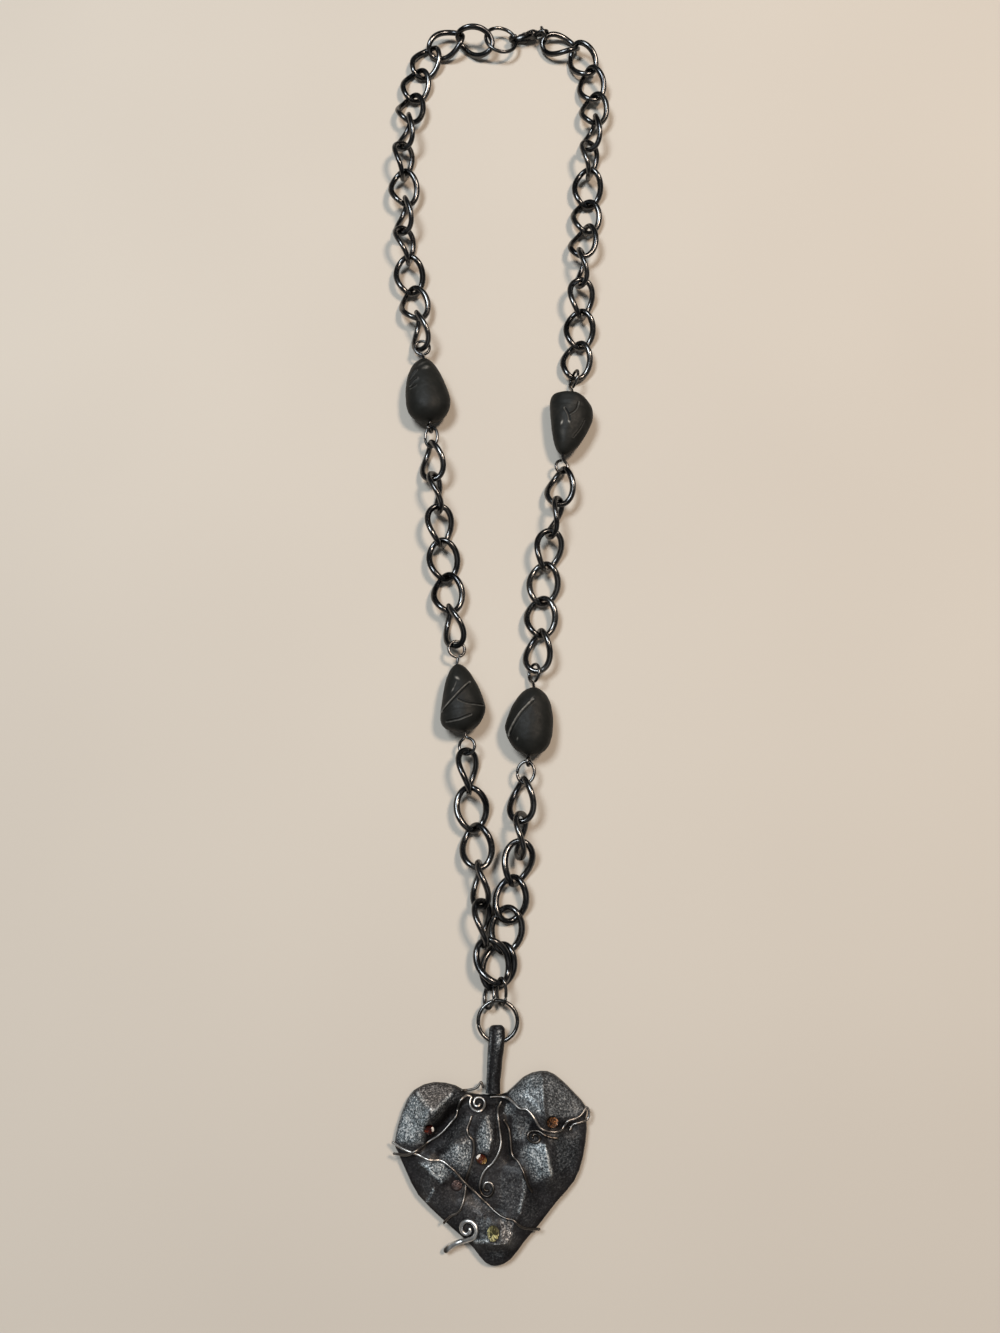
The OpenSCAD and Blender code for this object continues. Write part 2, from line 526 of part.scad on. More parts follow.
module heart_wire_on(points) {
    line = open_curve([for (p = points) [p[0], p[1], len(p) > 2 ? p[2] : 0]]);
    color("gray") laid() wire_run([for (p = line) on_heart(p)], heart_wire, wire_sides);
}
module heart_wire_spiral(points, row) {
    line = open_curve([for (p = points) [p[0], p[1], len(p) > 2 ? p[2] : 0]]);
    curl = [for (p = spiral(row)) [p[0], p[1], 0]];
    color("gray") laid() wire_run([for (p = concat(line, curl)) on_heart(p)], heart_wire, wire_sides);
}

module bail_stem() {
    color("dimgray") laid() difference() {
        polyhedron([for (k = [0:len(STEM_ROWS) - 1]) for (m = [0:stem_sides - 1])
            let (row = STEM_ROWS[k], angle = 360 * (m + 0.5) / stem_sides)
            [row[0] + row[3] * cos(angle), row[1], row[2] + row[3] * sin(angle)]],
            concat(band_faces(len(STEM_ROWS), stem_sides, false),
                [[for (m = [0:stem_sides - 1]) m]],
                [[for (m = [stem_sides - 1:-1:0]) (len(STEM_ROWS) - 1) * stem_sides + m]]));
        translate([stem_bore_at[0], stem_bore_at[1], PENDANT_RING[2]])
            rotate([0, 90, stem_bore_heading]) cylinder(h = 20, d = stem_bore, center = true, $fn = 32);
    }
}

module chain_left_upper() {
    color("slategray") laid() chain(chain_left_upper_start, chain_left_upper_rows);
}
module chain_right_upper() {
    color("slategray") laid() chain(chain_right_upper_start, chain_right_upper_rows);
}
module chain_left_middle() {
    color("slategray") laid() chain(chain_left_middle_start, chain_left_middle_rows);
}
module chain_right_middle() {
    color("slategray") laid() chain(chain_right_middle_start, chain_right_middle_rows);
}
module chain_left_lower() {
    color("slategray") laid() chain(chain_left_lower_start, chain_left_lower_rows, lower_chain_lift);
}
module chain_right_lower() {
    color("slategray") laid() chain(chain_right_lower_start, chain_right_lower_rows);
}
module bead_left_upper() { color("#26292b") laid() bead(BEAD_LEFT_UPPER); }
module bead_right_upper() { color("#26292b") laid() bead(BEAD_RIGHT_UPPER); }
module bead_left_lower() { color("#26292b") laid() bead(BEAD_LEFT_LOWER); }
module bead_right_lower() { color("#26292b") laid() bead(BEAD_RIGHT_LOWER); }
module pin_left_upper() {
    color("gray") laid() pin(BEAD_LEFT_UPPER, EYE_LEFT_UPPER_TOP, EYE_LEFT_UPPER_END);
}
module pin_right_upper() {
    color("gray") laid() pin(BEAD_RIGHT_UPPER, EYE_RIGHT_UPPER_TOP, EYE_RIGHT_UPPER_END);
}
module pin_left_lower() {
    color("gray") laid() pin(BEAD_LEFT_LOWER, EYE_LEFT_LOWER_TOP, EYE_LEFT_LOWER_END);
}
module pin_right_lower() {
    color("gray") laid() pin(BEAD_RIGHT_LOWER, EYE_RIGHT_LOWER_TOP, EYE_RIGHT_LOWER_END);
}
module jump_ring_left() { color("gray") laid() oval_ring(JUMP_RING_LEFT, pin_wire); }
module jump_ring_right() { color("gray") laid() oval_ring(JUMP_RING_RIGHT, pin_wire); }
module clasp_ring() { color("gray") laid() round_ring(CLASP_RING, clasp_ring_wire); }
module clasp_jump_ring() { color("gray") laid() oval_ring(CLASP_JUMP_RING, pin_wire); }
module pendant_ring() { color("gray") laid() round_ring(PENDANT_RING, pendant_ring_wire); }
module pendant_jump_ring_left() { color("gray") laid() oval_ring(PENDANT_JUMP_RING_LEFT, pin_wire); }
module pendant_jump_ring_right() { color("gray") laid() oval_ring(PENDANT_JUMP_RING_RIGHT, pin_wire); }
module wire_diagonal() { heart_wire_on(WIRE_DIAGONAL); }
module wire_left() { heart_wire_spiral(WIRE_LEFT, SPIRAL_LEFT); }
module wire_middle_left() { heart_wire_on(WIRE_MIDDLE_LEFT); }
module wire_middle() { heart_wire_spiral(WIRE_MIDDLE, SPIRAL_MIDDLE); }
module wire_middle_right() { heart_wire_on(WIRE_MIDDLE_RIGHT); }
module wire_right() { heart_wire_on(WIRE_RIGHT); }
module wire_right_curl() { heart_wire_spiral(WIRE_RIGHT_CURL, SPIRAL_CURL); }
module wire_spiral() { heart_wire_spiral(WIRE_SPIRAL_TAIL, SPIRAL_LOWER); }
module wire_stem() { heart_wire_on(WIRE_STEM); }
module stone_left() { stone(STONE_LEFT, "firebrick"); }
module stone_middle() { stone(STONE_MIDDLE, "sienna"); }
module stone_right() { stone(STONE_RIGHT, "chocolate"); }
module stone_lower_left() { stone(STONE_LOWER_LEFT, "rosybrown"); }
module stone_lower() { stone(STONE_LOWER, "olive"); }

chain_left_upper();
chain_right_upper();
chain_left_middle();
chain_right_middle();
chain_left_lower();
chain_right_lower();
bead_left_upper();
bead_right_upper();
bead_left_lower();
bead_right_lower();
pin_left_upper();
pin_right_upper();
pin_left_lower();
pin_right_lower();
jump_ring_left();
jump_ring_right();
clasp_ring();
clasp_jump_ring();
clasp_claw();
clasp_lever();
pendant_ring();
pendant_jump_ring_left();
pendant_jump_ring_right();
bail_stem();
heart();
wire_diagonal();
wire_left();
wire_middle_left();
wire_middle();
wire_middle_right();
wire_right();
wire_right_curl();
wire_spiral();
wire_stem();
stone_left();
stone_middle();
stone_right();
stone_lower_left();
stone_lower();
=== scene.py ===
"""Heart pendant necklace: the looks of every piece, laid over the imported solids."""
import math

import bpy
import numpy as np
from mathutils import Matrix, Vector, noise


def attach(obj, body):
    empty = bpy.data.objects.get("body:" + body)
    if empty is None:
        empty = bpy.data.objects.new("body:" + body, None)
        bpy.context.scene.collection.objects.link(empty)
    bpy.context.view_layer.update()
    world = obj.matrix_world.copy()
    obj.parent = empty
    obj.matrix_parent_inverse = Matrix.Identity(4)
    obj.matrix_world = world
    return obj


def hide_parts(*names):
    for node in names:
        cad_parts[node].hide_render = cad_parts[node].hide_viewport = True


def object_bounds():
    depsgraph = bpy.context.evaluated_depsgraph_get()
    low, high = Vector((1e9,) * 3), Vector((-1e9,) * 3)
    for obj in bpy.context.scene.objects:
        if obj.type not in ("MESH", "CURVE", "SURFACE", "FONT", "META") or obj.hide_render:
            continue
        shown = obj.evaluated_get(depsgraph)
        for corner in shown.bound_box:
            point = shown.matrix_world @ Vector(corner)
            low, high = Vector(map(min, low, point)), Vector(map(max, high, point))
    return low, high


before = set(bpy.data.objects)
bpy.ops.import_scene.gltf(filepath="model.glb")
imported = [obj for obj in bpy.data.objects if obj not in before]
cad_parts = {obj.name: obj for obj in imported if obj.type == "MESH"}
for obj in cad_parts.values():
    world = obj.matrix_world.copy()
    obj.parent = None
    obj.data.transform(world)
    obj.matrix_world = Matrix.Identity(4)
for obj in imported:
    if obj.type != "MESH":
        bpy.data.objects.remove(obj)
cad_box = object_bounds()
# Without a seed the offsets of noise_vector come from the clock
noise.seed_set(12)

# Layout in millimetres; MIDDLE is the laid necklace's middle
MIDDLE = np.array([-0.06, 26.69, 0.0])
BOX_MARGIN = 0.01
LINK_WIRE, LINK_PITCH, LINK_PLAY, LINK_HALF_WIDTH, LINK_TWIST = 1.15, 9.0, 0.45, 3.75, 66.0
LINK_HALF_LENGTH = LINK_PITCH / 2 + (LINK_WIRE + LINK_PLAY) / 2
PIN_WIRE, RING_WIRE, CLASP_WIRE = 0.65, 0.8, 0.85
# The visible wire of rings and pins is thicker than the solid's by this on each side. Heart wires have
# one radius and sink in a little.
RING_EXTRA, PIN_EXTRA = 0.06, 0.05
THIN_RADIUS, WIRE_SINK = 0.28, 0.06
# Half the opening of a pin's eye, the angle at which its wire ends, and how far its neck stands off
EYE_OPENING, EYE_END, EYE_NECK = 0.34, 343, 0.45

# Chains: start, lift of the last joint, and x, y and roll of each link's far joint (and its slip)
CHAINS = {
    "chain_left_upper": ((-3, 182), 0, [
        (-11.5, 185, -52), (-19.5, 181.5, -8), (-23, 174.5, 0), (-25, 165.8, 0), (-25.5, 157, 5),
        (-26.8, 148.1, 60), (-27, 139.2, 120), (-26, 130.3, 180), (-26.4, 121.4, 240), (-25, 112.6, 300),
        (-24, 103.8, 355), (-22, 95.2, 370), (-20.7, 86.4, 425)]),
    "chain_right_upper": ((13, 184.5), 0, [
        (21.6, 182, -10), (25.4, 174, 25), (26.5, 165.2, 25), (26.5, 156.3, 15), (25, 148, 60),
        (24.5, 140, 120), (24, 131.1, 180), (23.5, 122.5, 180), (22, 114, 205), (22, 105.1, 265),
        (21.5, 96.5, 325), (21.1, 87.6, 360), (19.7, 78.8, 370)]),
    "chain_left_middle": ((-18, 58), 0, [
        (-17, 49.1, 45), (-15.6, 40.3, 95), (-15, 31.5, 140), (-13.6, 22.6, 170), (-12.6, 13.8, 185),
        (-10.8, 5, 240)]),
    "chain_right_middle": ((16, 51), 0, [
        (15, 42.1, 30), (13, 33.5, 90), (11.5, 25, 145), (10.5, 16.5, 180), (10, 7.6, 185), (9, -1.3, 220)]),
    "chain_left_lower": ((-8, -22.5), 2, [
        (-7.5, -31.4, 115), (-6, -40.3, 170), (-5, -49.2, 195), (-4.4, -58.1, 250), (-3.6, -67, 285),
        (0.9, -76, 350)]),
    "chain_right_lower": ((5.5, -29.5), 0, [
        (5, -38, 225), (4.8, -45.5, 275, 0.5), (3.5, -52.5, 330, -0.4), (2, -60, 365, 0.7), (1.1, -68, 355),
        (-2, -76.8, 360)]),
}
# Beads: hole at the top and at the end, then for each side the half width, where, and two powers
BEAD_THICK = 8.6
BEADS = {
    "bead_left_upper": ((-20, 82.4), (-18.25, 64.2), (5.9, 0.66, 2.4, 2.4), (6, 0.66, 1.2, 2.4)),
    "bead_right_upper": ((19.3, 71.9), (16.15, 55.1), (5.85, 0.19, 5, 1.1), (6.1, 0.36, 2.4, 1.3)),
    "bead_left_lower": ((-10.6, -0.4), (-8.4, -17.5), (5.75, 0.77, 1.15, 2.5), (5.8, 0.67, 1.3, 1.6)),
    "bead_right_lower": ((8.3, -6.2), (7.05, -23.3), (6.5, 0.6, 1.4, 1.6), (5.4, 0.58, 2.3, 2.8)),
}
# Carved grooves on each bead: points of the line, half width and depth
GROOVES = {
    "bead_left_upper": [
        ([(-23.4, 75.5), (-22.6, 76.6), (-21.8, 77.4)], 0.15, 0.3),
        ([(-23.4, 73.4), (-22.6, 74.4), (-21.6, 75.1)], 0.15, 0.28),
        ([(-23.2, 72.5), (-22, 73)], 0.13, 0.22)],
    "bead_right_upper": [
        ([(16.7, 66.5), (17.6, 64.6), (17.9, 63)], 0.15, 0.26),
        ([(17.6, 64.6), (19.4, 65.9), (20.2, 68.1)], 0.14, 0.22),
        ([(21.9, 63.6), (20.6, 61), (18.8, 58.7)], 0.13, 0.16)],
    "bead_left_lower": [
        ([(-7.3, -5.7), (-10.6, -9.2), (-13.9, -12.7)], 0.16, 0.32),
        ([(-10, -10.1), (-7.6, -11), (-4.1, -11.1)], 0.14, 0.2),
        ([(-12.8, -15.3), (-10, -15), (-7, -13.8)], 0.14, 0.2)],
    "bead_right_lower": [([(8, -10.2), (6.2, -12), (4.7, -13.7), (2.9, -16.6), (2.2, -18.4)], 0.16, 0.34)],
}
# Painted highlights, small glints on each bead: x, y, half length, half width, turn and brightness
GLINT_SPOTS = {
    "bead_left_upper": [(-19.3, 78.3, 0.7, 0.4, 20, 0.4), (-20.4, 79.6, 1.2, 0.3, 30, 0.1)],
    "bead_right_upper": [
        (15.8, 62.6, 0.45, 0.22, 70, 0.8), (17.7, 62.7, 0.35, 0.2, 120, 0.8),
        (18.4, 67.2, 1.4, 0.7, 30, 0.07), (16, 60, 1.2, 0.5, 100, 0.07)],
    "bead_left_lower": [
        (-10.4, -4.5, 0.5, 0.22, -40, 0.85), (-11.5, -7.5, 0.5, 0.16, 60, 0.5),
        (-10.9, -6.2, 0.8, 0.12, 70, 0.2)],
    "bead_right_lower": [
        (6.9, -10.9, 0.4, 0.2, 45, 0.6), (4.1, -19.6, 0.3, 0.13, 80, 0.45), (7.7, -9.7, 0.5, 0.16, 50, 0.3)],
}
# Rings: x, y, z of the middle, heading, pitch, roll, half length, half width. EYES are at the two ends of
# the pin through each bead.
EYES = {
    "pin_left_upper": ((-20.6, 85.85, 4.1, 95, 0, 0, 1.95, 1.95), (-18.15, 62.6, 4.3, 95, 0, 60, 1, 1)),
    "pin_right_upper": ((19.5, 77.05, 3.2, 78.4, 0, -70, 2.5, 2.5), (16, 52.25, 3.35, 79, 0, 21, 1.7, 1.7)),
    "pin_left_lower": ((-10.7, 3.5, 3.85, 97, 0, 15.5, 2, 2), (-8, -20.8, 4.05, 98, 0, -21, 2, 2)),
    "pin_right_lower": ((8.4, -2.5, 3.4, 86, 0, -58, 2.25, 2.25), (6.85, -24.6, 4.3, 86, 0, 70, 0.95, 0.95)),
}
RINGS = {
    "jump_ring_left": ((-17.8, 60.1, 4.4, 91.5, 4, -19, 2.7, 1.7), PIN_WIRE),
    "jump_ring_right": ((6.2, -27.2, 4.25, 82, 3, -5.5, 2.6, 2.05), PIN_WIRE),
    "clasp_ring": ((0.25, 184, 3.55, 13.5, -12, -3.5, 4.45, 4.45), CLASP_WIRE),
    "clasp_jump_ring": ((12.6, 186.05, 3.2, 107.5, -12, 78, 1.95, 2.1), PIN_WIRE),
    "pendant_ring": ((-0.5, -84.3, 2.4, 90, 0, 0, 4.5, 4.5), RING_WIRE),
    "pendant_jump_ring_left": ((-2.5, -78.85, 1.9, 84, -7, 128, 2.8, 1.75), PIN_WIRE),
    "pendant_jump_ring_right": ((0.35, -77.8, 3.55, 86, 27, 125, 3.35, 1.85), PIN_WIRE),
}
# Claw: its origin, the turns of its plane, and its eye
CLAW_PLACE, CLAW_HEADING, CLAW_ROLL = (2.5, 185.15, 2.55), 13, -64
CLAW_EYE, CLAW_EYE_RADIUS = 9.8, 1.6

# Heart: middle, outline, creases with straight flanks, round swells and hollows
RIM_THICK, HEART_SWELL = 2.4, 2.2
HEART_MIDDLE = np.array([-1.8, -112])
HEART_OUTLINE = [
    (-2, -100.3), (-7, -99.9), (-10.2, -98.3), (-15, -97.6), (-19.5, -99.3), (-22, -103.5), (-23.7, -110),
    (-22.9, -112.4), (-21, -116.3), (-18.2, -121.2), (-12.8, -126.1), (-8.6, -129.5), (-5.8, -132),
    (-3.2, -134.9), (-0.5, -135.5), (2.4, -134.2), (5.5, -130.5), (8.5, -127.4), (12.5, -122.7),
    (16.6, -118.3), (18.6, -113.5), (19.6, -107.5), (19.4, -105.2), (19.6, -103), (16.6, -99.6),
    (12.4, -95.9), (9.2, -95.2), (5.5, -96.4), (1.6, -99.8)]
HEART_CREASES = [
    (-15.6, -102.9, -19.6, -100.6, 2.4, 4.5), (-15.6, -102.9, -11.8, -99.8, 2, 4),
    (-15.6, -102.9, -19.8, -108.6, 1.9, 4), (9.4, -96.5, 9.9, -104, 2.6, 6.5),
    (10, -110.2, 10.9, -116.4, 1.9, 4.5), (4.2, -117, 4.8, -124.5, 1.1, 4),
    (-15.2, -115.6, -15.8, -119.4, 1.5, 4), (-4.5, -130.3, 1.8, -129.8, 1, 2.5)]
HEART_SWELLS = [
    (-3.4, -105.6, -3.2, -110.6, 1.8, 2), (-8.9, -110.5, -9.2, -113, 1.5, 2.6),
    (7.4, -111.2, 8.2, -114, 0.8, 2.4), (-1, -127, 0, -128.5, 1.4, 3.4),
    (-15.8, -121.4, -14, -123, 0.6, 1.8), (-7, -101.5, 0.5, -101.5, -1.6, 2),
    (-9.6, -103, -16.2, -109.6, -1.7, 1.9), (1.4, -103, 2.2, -112.5, -1.1, 1.5),
    (6, -106.4, 10.5, -108.2, -1.2, 1.7), (12, -106.2, 16, -106.8, -1.3, 1.6),
    (-13.5, -113.2, -5.5, -119.6, -0.9, 1.6), (-6.4, -121, -1, -123.6, -0.7, 1.6),
    (-10.2, -118.4, -9.4, -121, -0.5, 1.6)]
# Wires on the heart: x, y and lift of each point, and the spiral that ends the wire: x and y of its
# middle, half widths in x and y, starting angle, turns, and how late it narrows
WIRES = {
    "wire_diagonal": ([
        (-24, -110.1), (-21.7, -111.2), (-18.3, -112.3), (-15.6, -113.3), (-12.9, -113.6),
        (-10.4, -115.2, 0.5), (-7.9, -117.8, 1), (-5, -120.4, 0.5), (-2.9, -122.3), (-0.8, -124), (1.2, -125),
        (2.9, -125.4), (4.7, -127), (6.7, -127.6), (8.6, -127.9)], None),
    "wire_left": ([
        (-23.6, -112.4, 0.4), (-20.8, -112.4, 0.9), (-19, -111.6, 0.9), (-17.2, -110.6), (-15.8, -109.8),
        (-13.2, -108.1), (-11.3, -106.2), (-9.9, -104.6), (-9.5, -103), (-9.1, -101.6), (-8.3, -100.6),
        (-7.4, -100.2)], (-4.9, -101.8, 1.95, 1.8, 140, 1.5, 1.3)),
    "wire_middle_left": ([
        (-6.4, -104.4), (-6.8, -105.6), (-7.3, -107), (-6.9, -108.2), (-6, -109.2), (-5.8, -111),
        (-6.3, -113.5), (-7, -115.8), (-7.5, -117.4), (-7.6, -119), (-7.8, -120.8), (-8.4, -122.8),
        (-9.3, -124.1), (-10.8, -124.9), (-12.3, -126.5)], None),
    "wire_middle": ([
        (0.2, -101.6), (-0.5, -103), (-0.4, -105), (-0.1, -107.1), (0.2, -109.8), (-0.4, -112), (-1.7, -114),
        (-2.9, -115), (-3.8, -116.2), (-4.4, -117.8)], (-2.8, -119.1, 1.7, 1.9, 180, 1.3, 1.3)),
    "wire_middle_right": ([
        (0.9, -105.3), (1.9, -107), (2.3, -109.2), (2.7, -112.4), (4, -113.7), (5, -115.3), (5.6, -117),
        (6.2, -118.6), (6.9, -119.7)], None),
    "wire_right": ([
        (-2.1, -100.6), (-0.5, -100.5), (1.3, -100.7), (2.3, -101.1), (3.3, -101.8), (4.4, -102.7),
        (6, -102.8), (7.5, -104.4), (9, -106.6), (11.2, -107.5), (13.4, -107.4), (14.4, -106.4),
        (15.2, -105.4), (17.1, -104.9), (18.3, -104.1), (19.5, -102.8), (20.1, -103.9), (19.6, -105.3),
        (18, -105.8), (16.4, -106.3), (15.6, -107.4)], None),
    "wire_right_curl": ([(12.6, -108.8), (11.2, -108.6), (10, -108.2)], (7.7, -108.6, 2, 1.4, 45, 1.4, 1)),
    "wire_spiral": ([
        (-11.8, -132.3, -1.1), (-10.5, -131.2, -0.6), (-9.2, -130.5),
        (-7.8, -130.1)], (-7.1, -127.5, 2.1, 2.1, -70, 1.2, 1.5)),
    "wire_stem": ([
        (-8.6, -99.2, -0.1), (-6.9, -99.1, -0.1), (-5.2, -98.6, -0.1), (-4.3, -97.5, -0.2),
        (-3.9, -98.5, -0.2)], None),
}
# Stones: x, y, half length, half width, turn, height over the heart, material, the directions in which
# its facets are painted lit and in which a painted white highlight sits, and how far the lit facets spread
STONES = {
    "stone_left": (-15.8, -107.2, 1.1, 1.1, 0, 0.2, "stone_red", 200, 10, 0.3),
    "stone_middle": (-4.1, -113.2, 1.25, 1.05, -30, 0.25, "stone_amber", -45, 135, 0.32),
    "stone_right": (11.7, -105.6, 1.3, 1.15, 20, 0.25, "stone_orange", -20, None, 1.1),
    "stone_lower_left": (-9.6, -118.8, 1.25, 1.15, 0, 0.15, "stone_pink", 60, None, 0.7),
    "stone_lower": (-1.5, -127.9, 1.35, 1.65, 0, 0.35, "stone_green", -105, None, 0.9),
}
STONE_PAVILION, POCKET_GAP = 0.9, 0.12
# Stem: x, y and z of its middle line, and its radius
STEM_ROWS = [
    (-0.6, -85.1, 2.5, 0.9), (-0.6, -85.4, 2.5, 1.45), (-0.65, -86.2, 2.4, 1.85), (-0.8, -89, 2.3, 1.9),
    (-1.1, -92, 2.15, 1.8), (-1.35, -95, 2.1, 1.7), (-1.55, -98, 2.1, 1.65), (-1.6, -99.9, 2.1, 1.7)]

# Folds above the first value are pressed down into the room that the second leaves
FOLD_LIMIT, FOLD_ROOM = 7.4, 1.1
# Finer folds and powder are placed as the camera sees them on the plane that the heart lies on: the
# point of that plane under the camera, and the camera's height
EYE_FOOT, EYE_HIGH = np.array([0, -63.4]), 262.5
# Folds: points of the crest, height, and width of the flank on its left and on its right
FOLDS = [
    ([(-15.8, -104.1), (-19.2, -99.9)], 0.45, 2.6, 2.2),
    ([(-15.8, -104.1), (-11, -100.2)], 0.45, 2.4, 1.1),
    ([(-15.8, -104.1), (-16.6, -107), (-18, -110.4)], 0.4, 1.2, 2.8),
    ([(-6.7, -109.6), (-9.2, -110.9), (-11.6, -113.3)], 0.45, 3.2, 1.3),
    ([(-3.2, -104.9), (-2.3, -107.2), (-1.9, -109.5), (-2.4, -113)], 0.6, 0.7, 2.4),
    ([(9.6, -95.9), (9.7, -99), (9.9, -102.5), (10.6, -105)], 0.35, 0.9, 1.4),
    ([(10.3, -110.6), (10.8, -113.5), (11.4, -117.3)], 0.6, 0.8, 3.2),
    ([(5, -116.8), (5.5, -120.2), (4.4, -125), (3.2, -128)], 0.4, 1, 2),
    ([(-17.8, -115.2), (-15.4, -116.6), (-13, -118.7)], 0.5, 2.2, 1),
    ([(-14.8, -120.5), (-16.6, -123.3)], 0.35, 0.7, 0.7),
    ([(-5.5, -131), (-3.6, -130.7), (-1.6, -131.6), (1.6, -131.3)], 0.9, 1.1, 0.45),
    ([(1.3, -126.9), (2.7, -129), (1.9, -131.2)], 0.45, 0.7, 0.9),
    ([(-3.7, -126.2), (-4.3, -130)], 0.35, 0.8, 0.8),
    ([(-1, -103), (-0.9, -106), (-0.6, -110)], -0.35, 0.8, 0.8),
    ([(-9.6, -103.4), (-10.6, -106.2), (-13.8, -108.6)], -0.3, 0.9, 0.9),
    ([(6.6, -109.1), (9, -109.1)], -0.5, 1.3, 1.3),
    ([(-1.8, -133.4), (-0.6, -133.4)], -0.5, 2.2, 2.2),
    ([(-8.4, -127.3), (-6.2, -127.9)], -0.4, 2, 2),
]
# Powder rubbed on, laid brightest on the facets that face the lamps, which is painted light: amount,
# warmth, and the corners of the patch, each with the softness of the edge that leaves it
PATCHES = [
    (1, 0, [
        (-19.7, -100.3, 0.4), (-16.1, -104.3, 1.8), (-17.6, -110.7, 1.4), (-24.6, -110.6, 0.8),
        (-24.3, -106, 0.8), (-22.6, -101.4, 0.8)]),
    (0.75, 0.8, [
        (-19, -99.6, 0.3), (-15.6, -104, 0.4), (-10.6, -99.8, 1.2), (-10.4, -96.8, 1), (-20.4, -97, 1)]),
    (0.9, 0.3, [
        (-6.5, -109.5, 0.8), (-10.2, -111.4, 1.6), (-13, -113.5, 2.4), (-9.9, -117, 3.6), (-6.4, -116, 0.5)]),
    (0.9, 0.15, [
        (-3.2, -105.1, 0.25), (-2, -108.6, 0.25), (-2.3, -112.4, 1.2), (-4.9, -112.7, 1.2),
        (-5.1, -109, 1.6)]),
    (0.56, 0.15, [
        (1.9, -100.4, 0.8), (4.8, -96.4, 1), (9.4, -93.5, 0.4), (10.2, -104.9, 1.6), (6.8, -104.2, 0.8),
        (4, -102.9, 0.6)]),
    (0.45, 0.35, [(9.8, -93.5, 0.8), (15, -95, 1), (20.6, -103, 1), (17, -105.4, 1.5), (11, -105.3, 1.5)]),
    (0.55, 0.2, [(0.7, -104.5, 0.6), (1.6, -102.3, 0.6), (3.4, -102.5, 0.8), (3.6, -104.8, 1.2)]),
    (0.3, 0.2, [(2.8, -104.4, 1), (7.2, -105.6, 1), (6, -109.8, 1.5), (3, -110.4, 1)]),
    (0.95, 0, [
        (5.1, -112.3, 1.6), (7.6, -110.9, 0.8), (10.3, -110.9, 0.25), (11.4, -117.3, 2.4),
        (8.2, -118.4, 3.6)]),
    (0.15, 0.3, [
        (-0.4, -117, 2), (4.8, -117.3, 0.4), (5.4, -120.5, 0.4), (4.1, -126, 1.5), (-0.6, -123.5, 2)]),
    (0.8, 0, [(-18.2, -115, 1.2), (-13.2, -114.6, 2.4), (-11.2, -116.9, 2), (-13.1, -119, 0.4)]),
    (0.25, 0, [(-5.4, -126.3, 1.4), (-2.1, -126.1, 0.9), (-2.6, -131.6, 0.3), (-5.5, -131.1, 0.6)]),
    (1, 0.7, [(0.1, -126.7, 0.9), (2.9, -127.3, 0.5), (2.2, -131.4, 0.5), (0.3, -131.1, 0.6)]),
    (0.13, 0.1, [(12.5, -109, 2), (18.6, -108, 2), (17, -117, 2.5), (12.5, -117, 2)]),
    (0.1, 0.1, [(-2.8, -132.7, 0.8), (1.2, -132.7, 0.8), (0.6, -134.5, 0.8), (-1.6, -134.7, 0.8)]),
    (0.16, 0.6, [(-6, -120.5, 1.5), (-1.2, -124.5, 1), (-4.5, -126.5, 1.5), (-8, -123.5, 1.5)]),
]
# Painted shade in the hollows: darkness, and the corners with their softness
HOLLOWS = [
    (0.85, [
        (-7.4, -100, 0.5), (1.6, -100, 0.5), (0.6, -104.6, 1.6), (-2.6, -103.8, 1.6), (-6.6, -104.6, 1.2)]),
    (0.8, [
        (-7.8, -103.6, 1), (-7.6, -108.4, 0.8), (-10.8, -110.4, 1), (-14, -109.8, 1), (-10.4, -105.6, 0.8)]),
    (0.7, [
        (-10.2, -99.4, 1), (-8.6, -100.4, 1), (-9.8, -105.2, 0.8), (-15.4, -109.9, 0.8), (-15.4, -104.4, 1)]),
    (0.6, [(-1.7, -104, 1), (-0.2, -104, 0.8), (0.2, -109.5, 0.6), (-1.2, -112.6, 1), (-1.6, -109, 0.5)]),
    (0.6, [(2.4, -106.4, 1.2), (5.8, -109.4, 1.5), (4.6, -112.6, 1.5), (3.2, -112.6, 1)]),
    (0.55, [(-3.8, -132, 0.5), (1.6, -131.9, 0.5), (3.2, -133.4, 1), (0, -135.4, 1), (-2.6, -134.6, 1)]),
    (0.5, [
        (11.4, -109.8, 1.5), (17.5, -106.6, 1.5), (18.4, -111, 1.5), (14, -119.5, 2), (11.8, -117.6, 0.8)]),
    (0.5, [(-16.4, -111.2, 1), (-10.8, -110.6, 1.5), (-12.4, -113.2, 1), (-16, -113, 1)]),
    (0.5, [(-5.8, -115.8, 1.5), (-4.6, -118.6, 1), (-5.6, -119.8, 1.5), (-7.3, -118, 1)]),
    (0.5, [(6.2, -119.4, 1.2), (9.6, -119.6, 1.5), (8.4, -125.6, 1.5), (5.4, -125.4, 0.8)]),
]
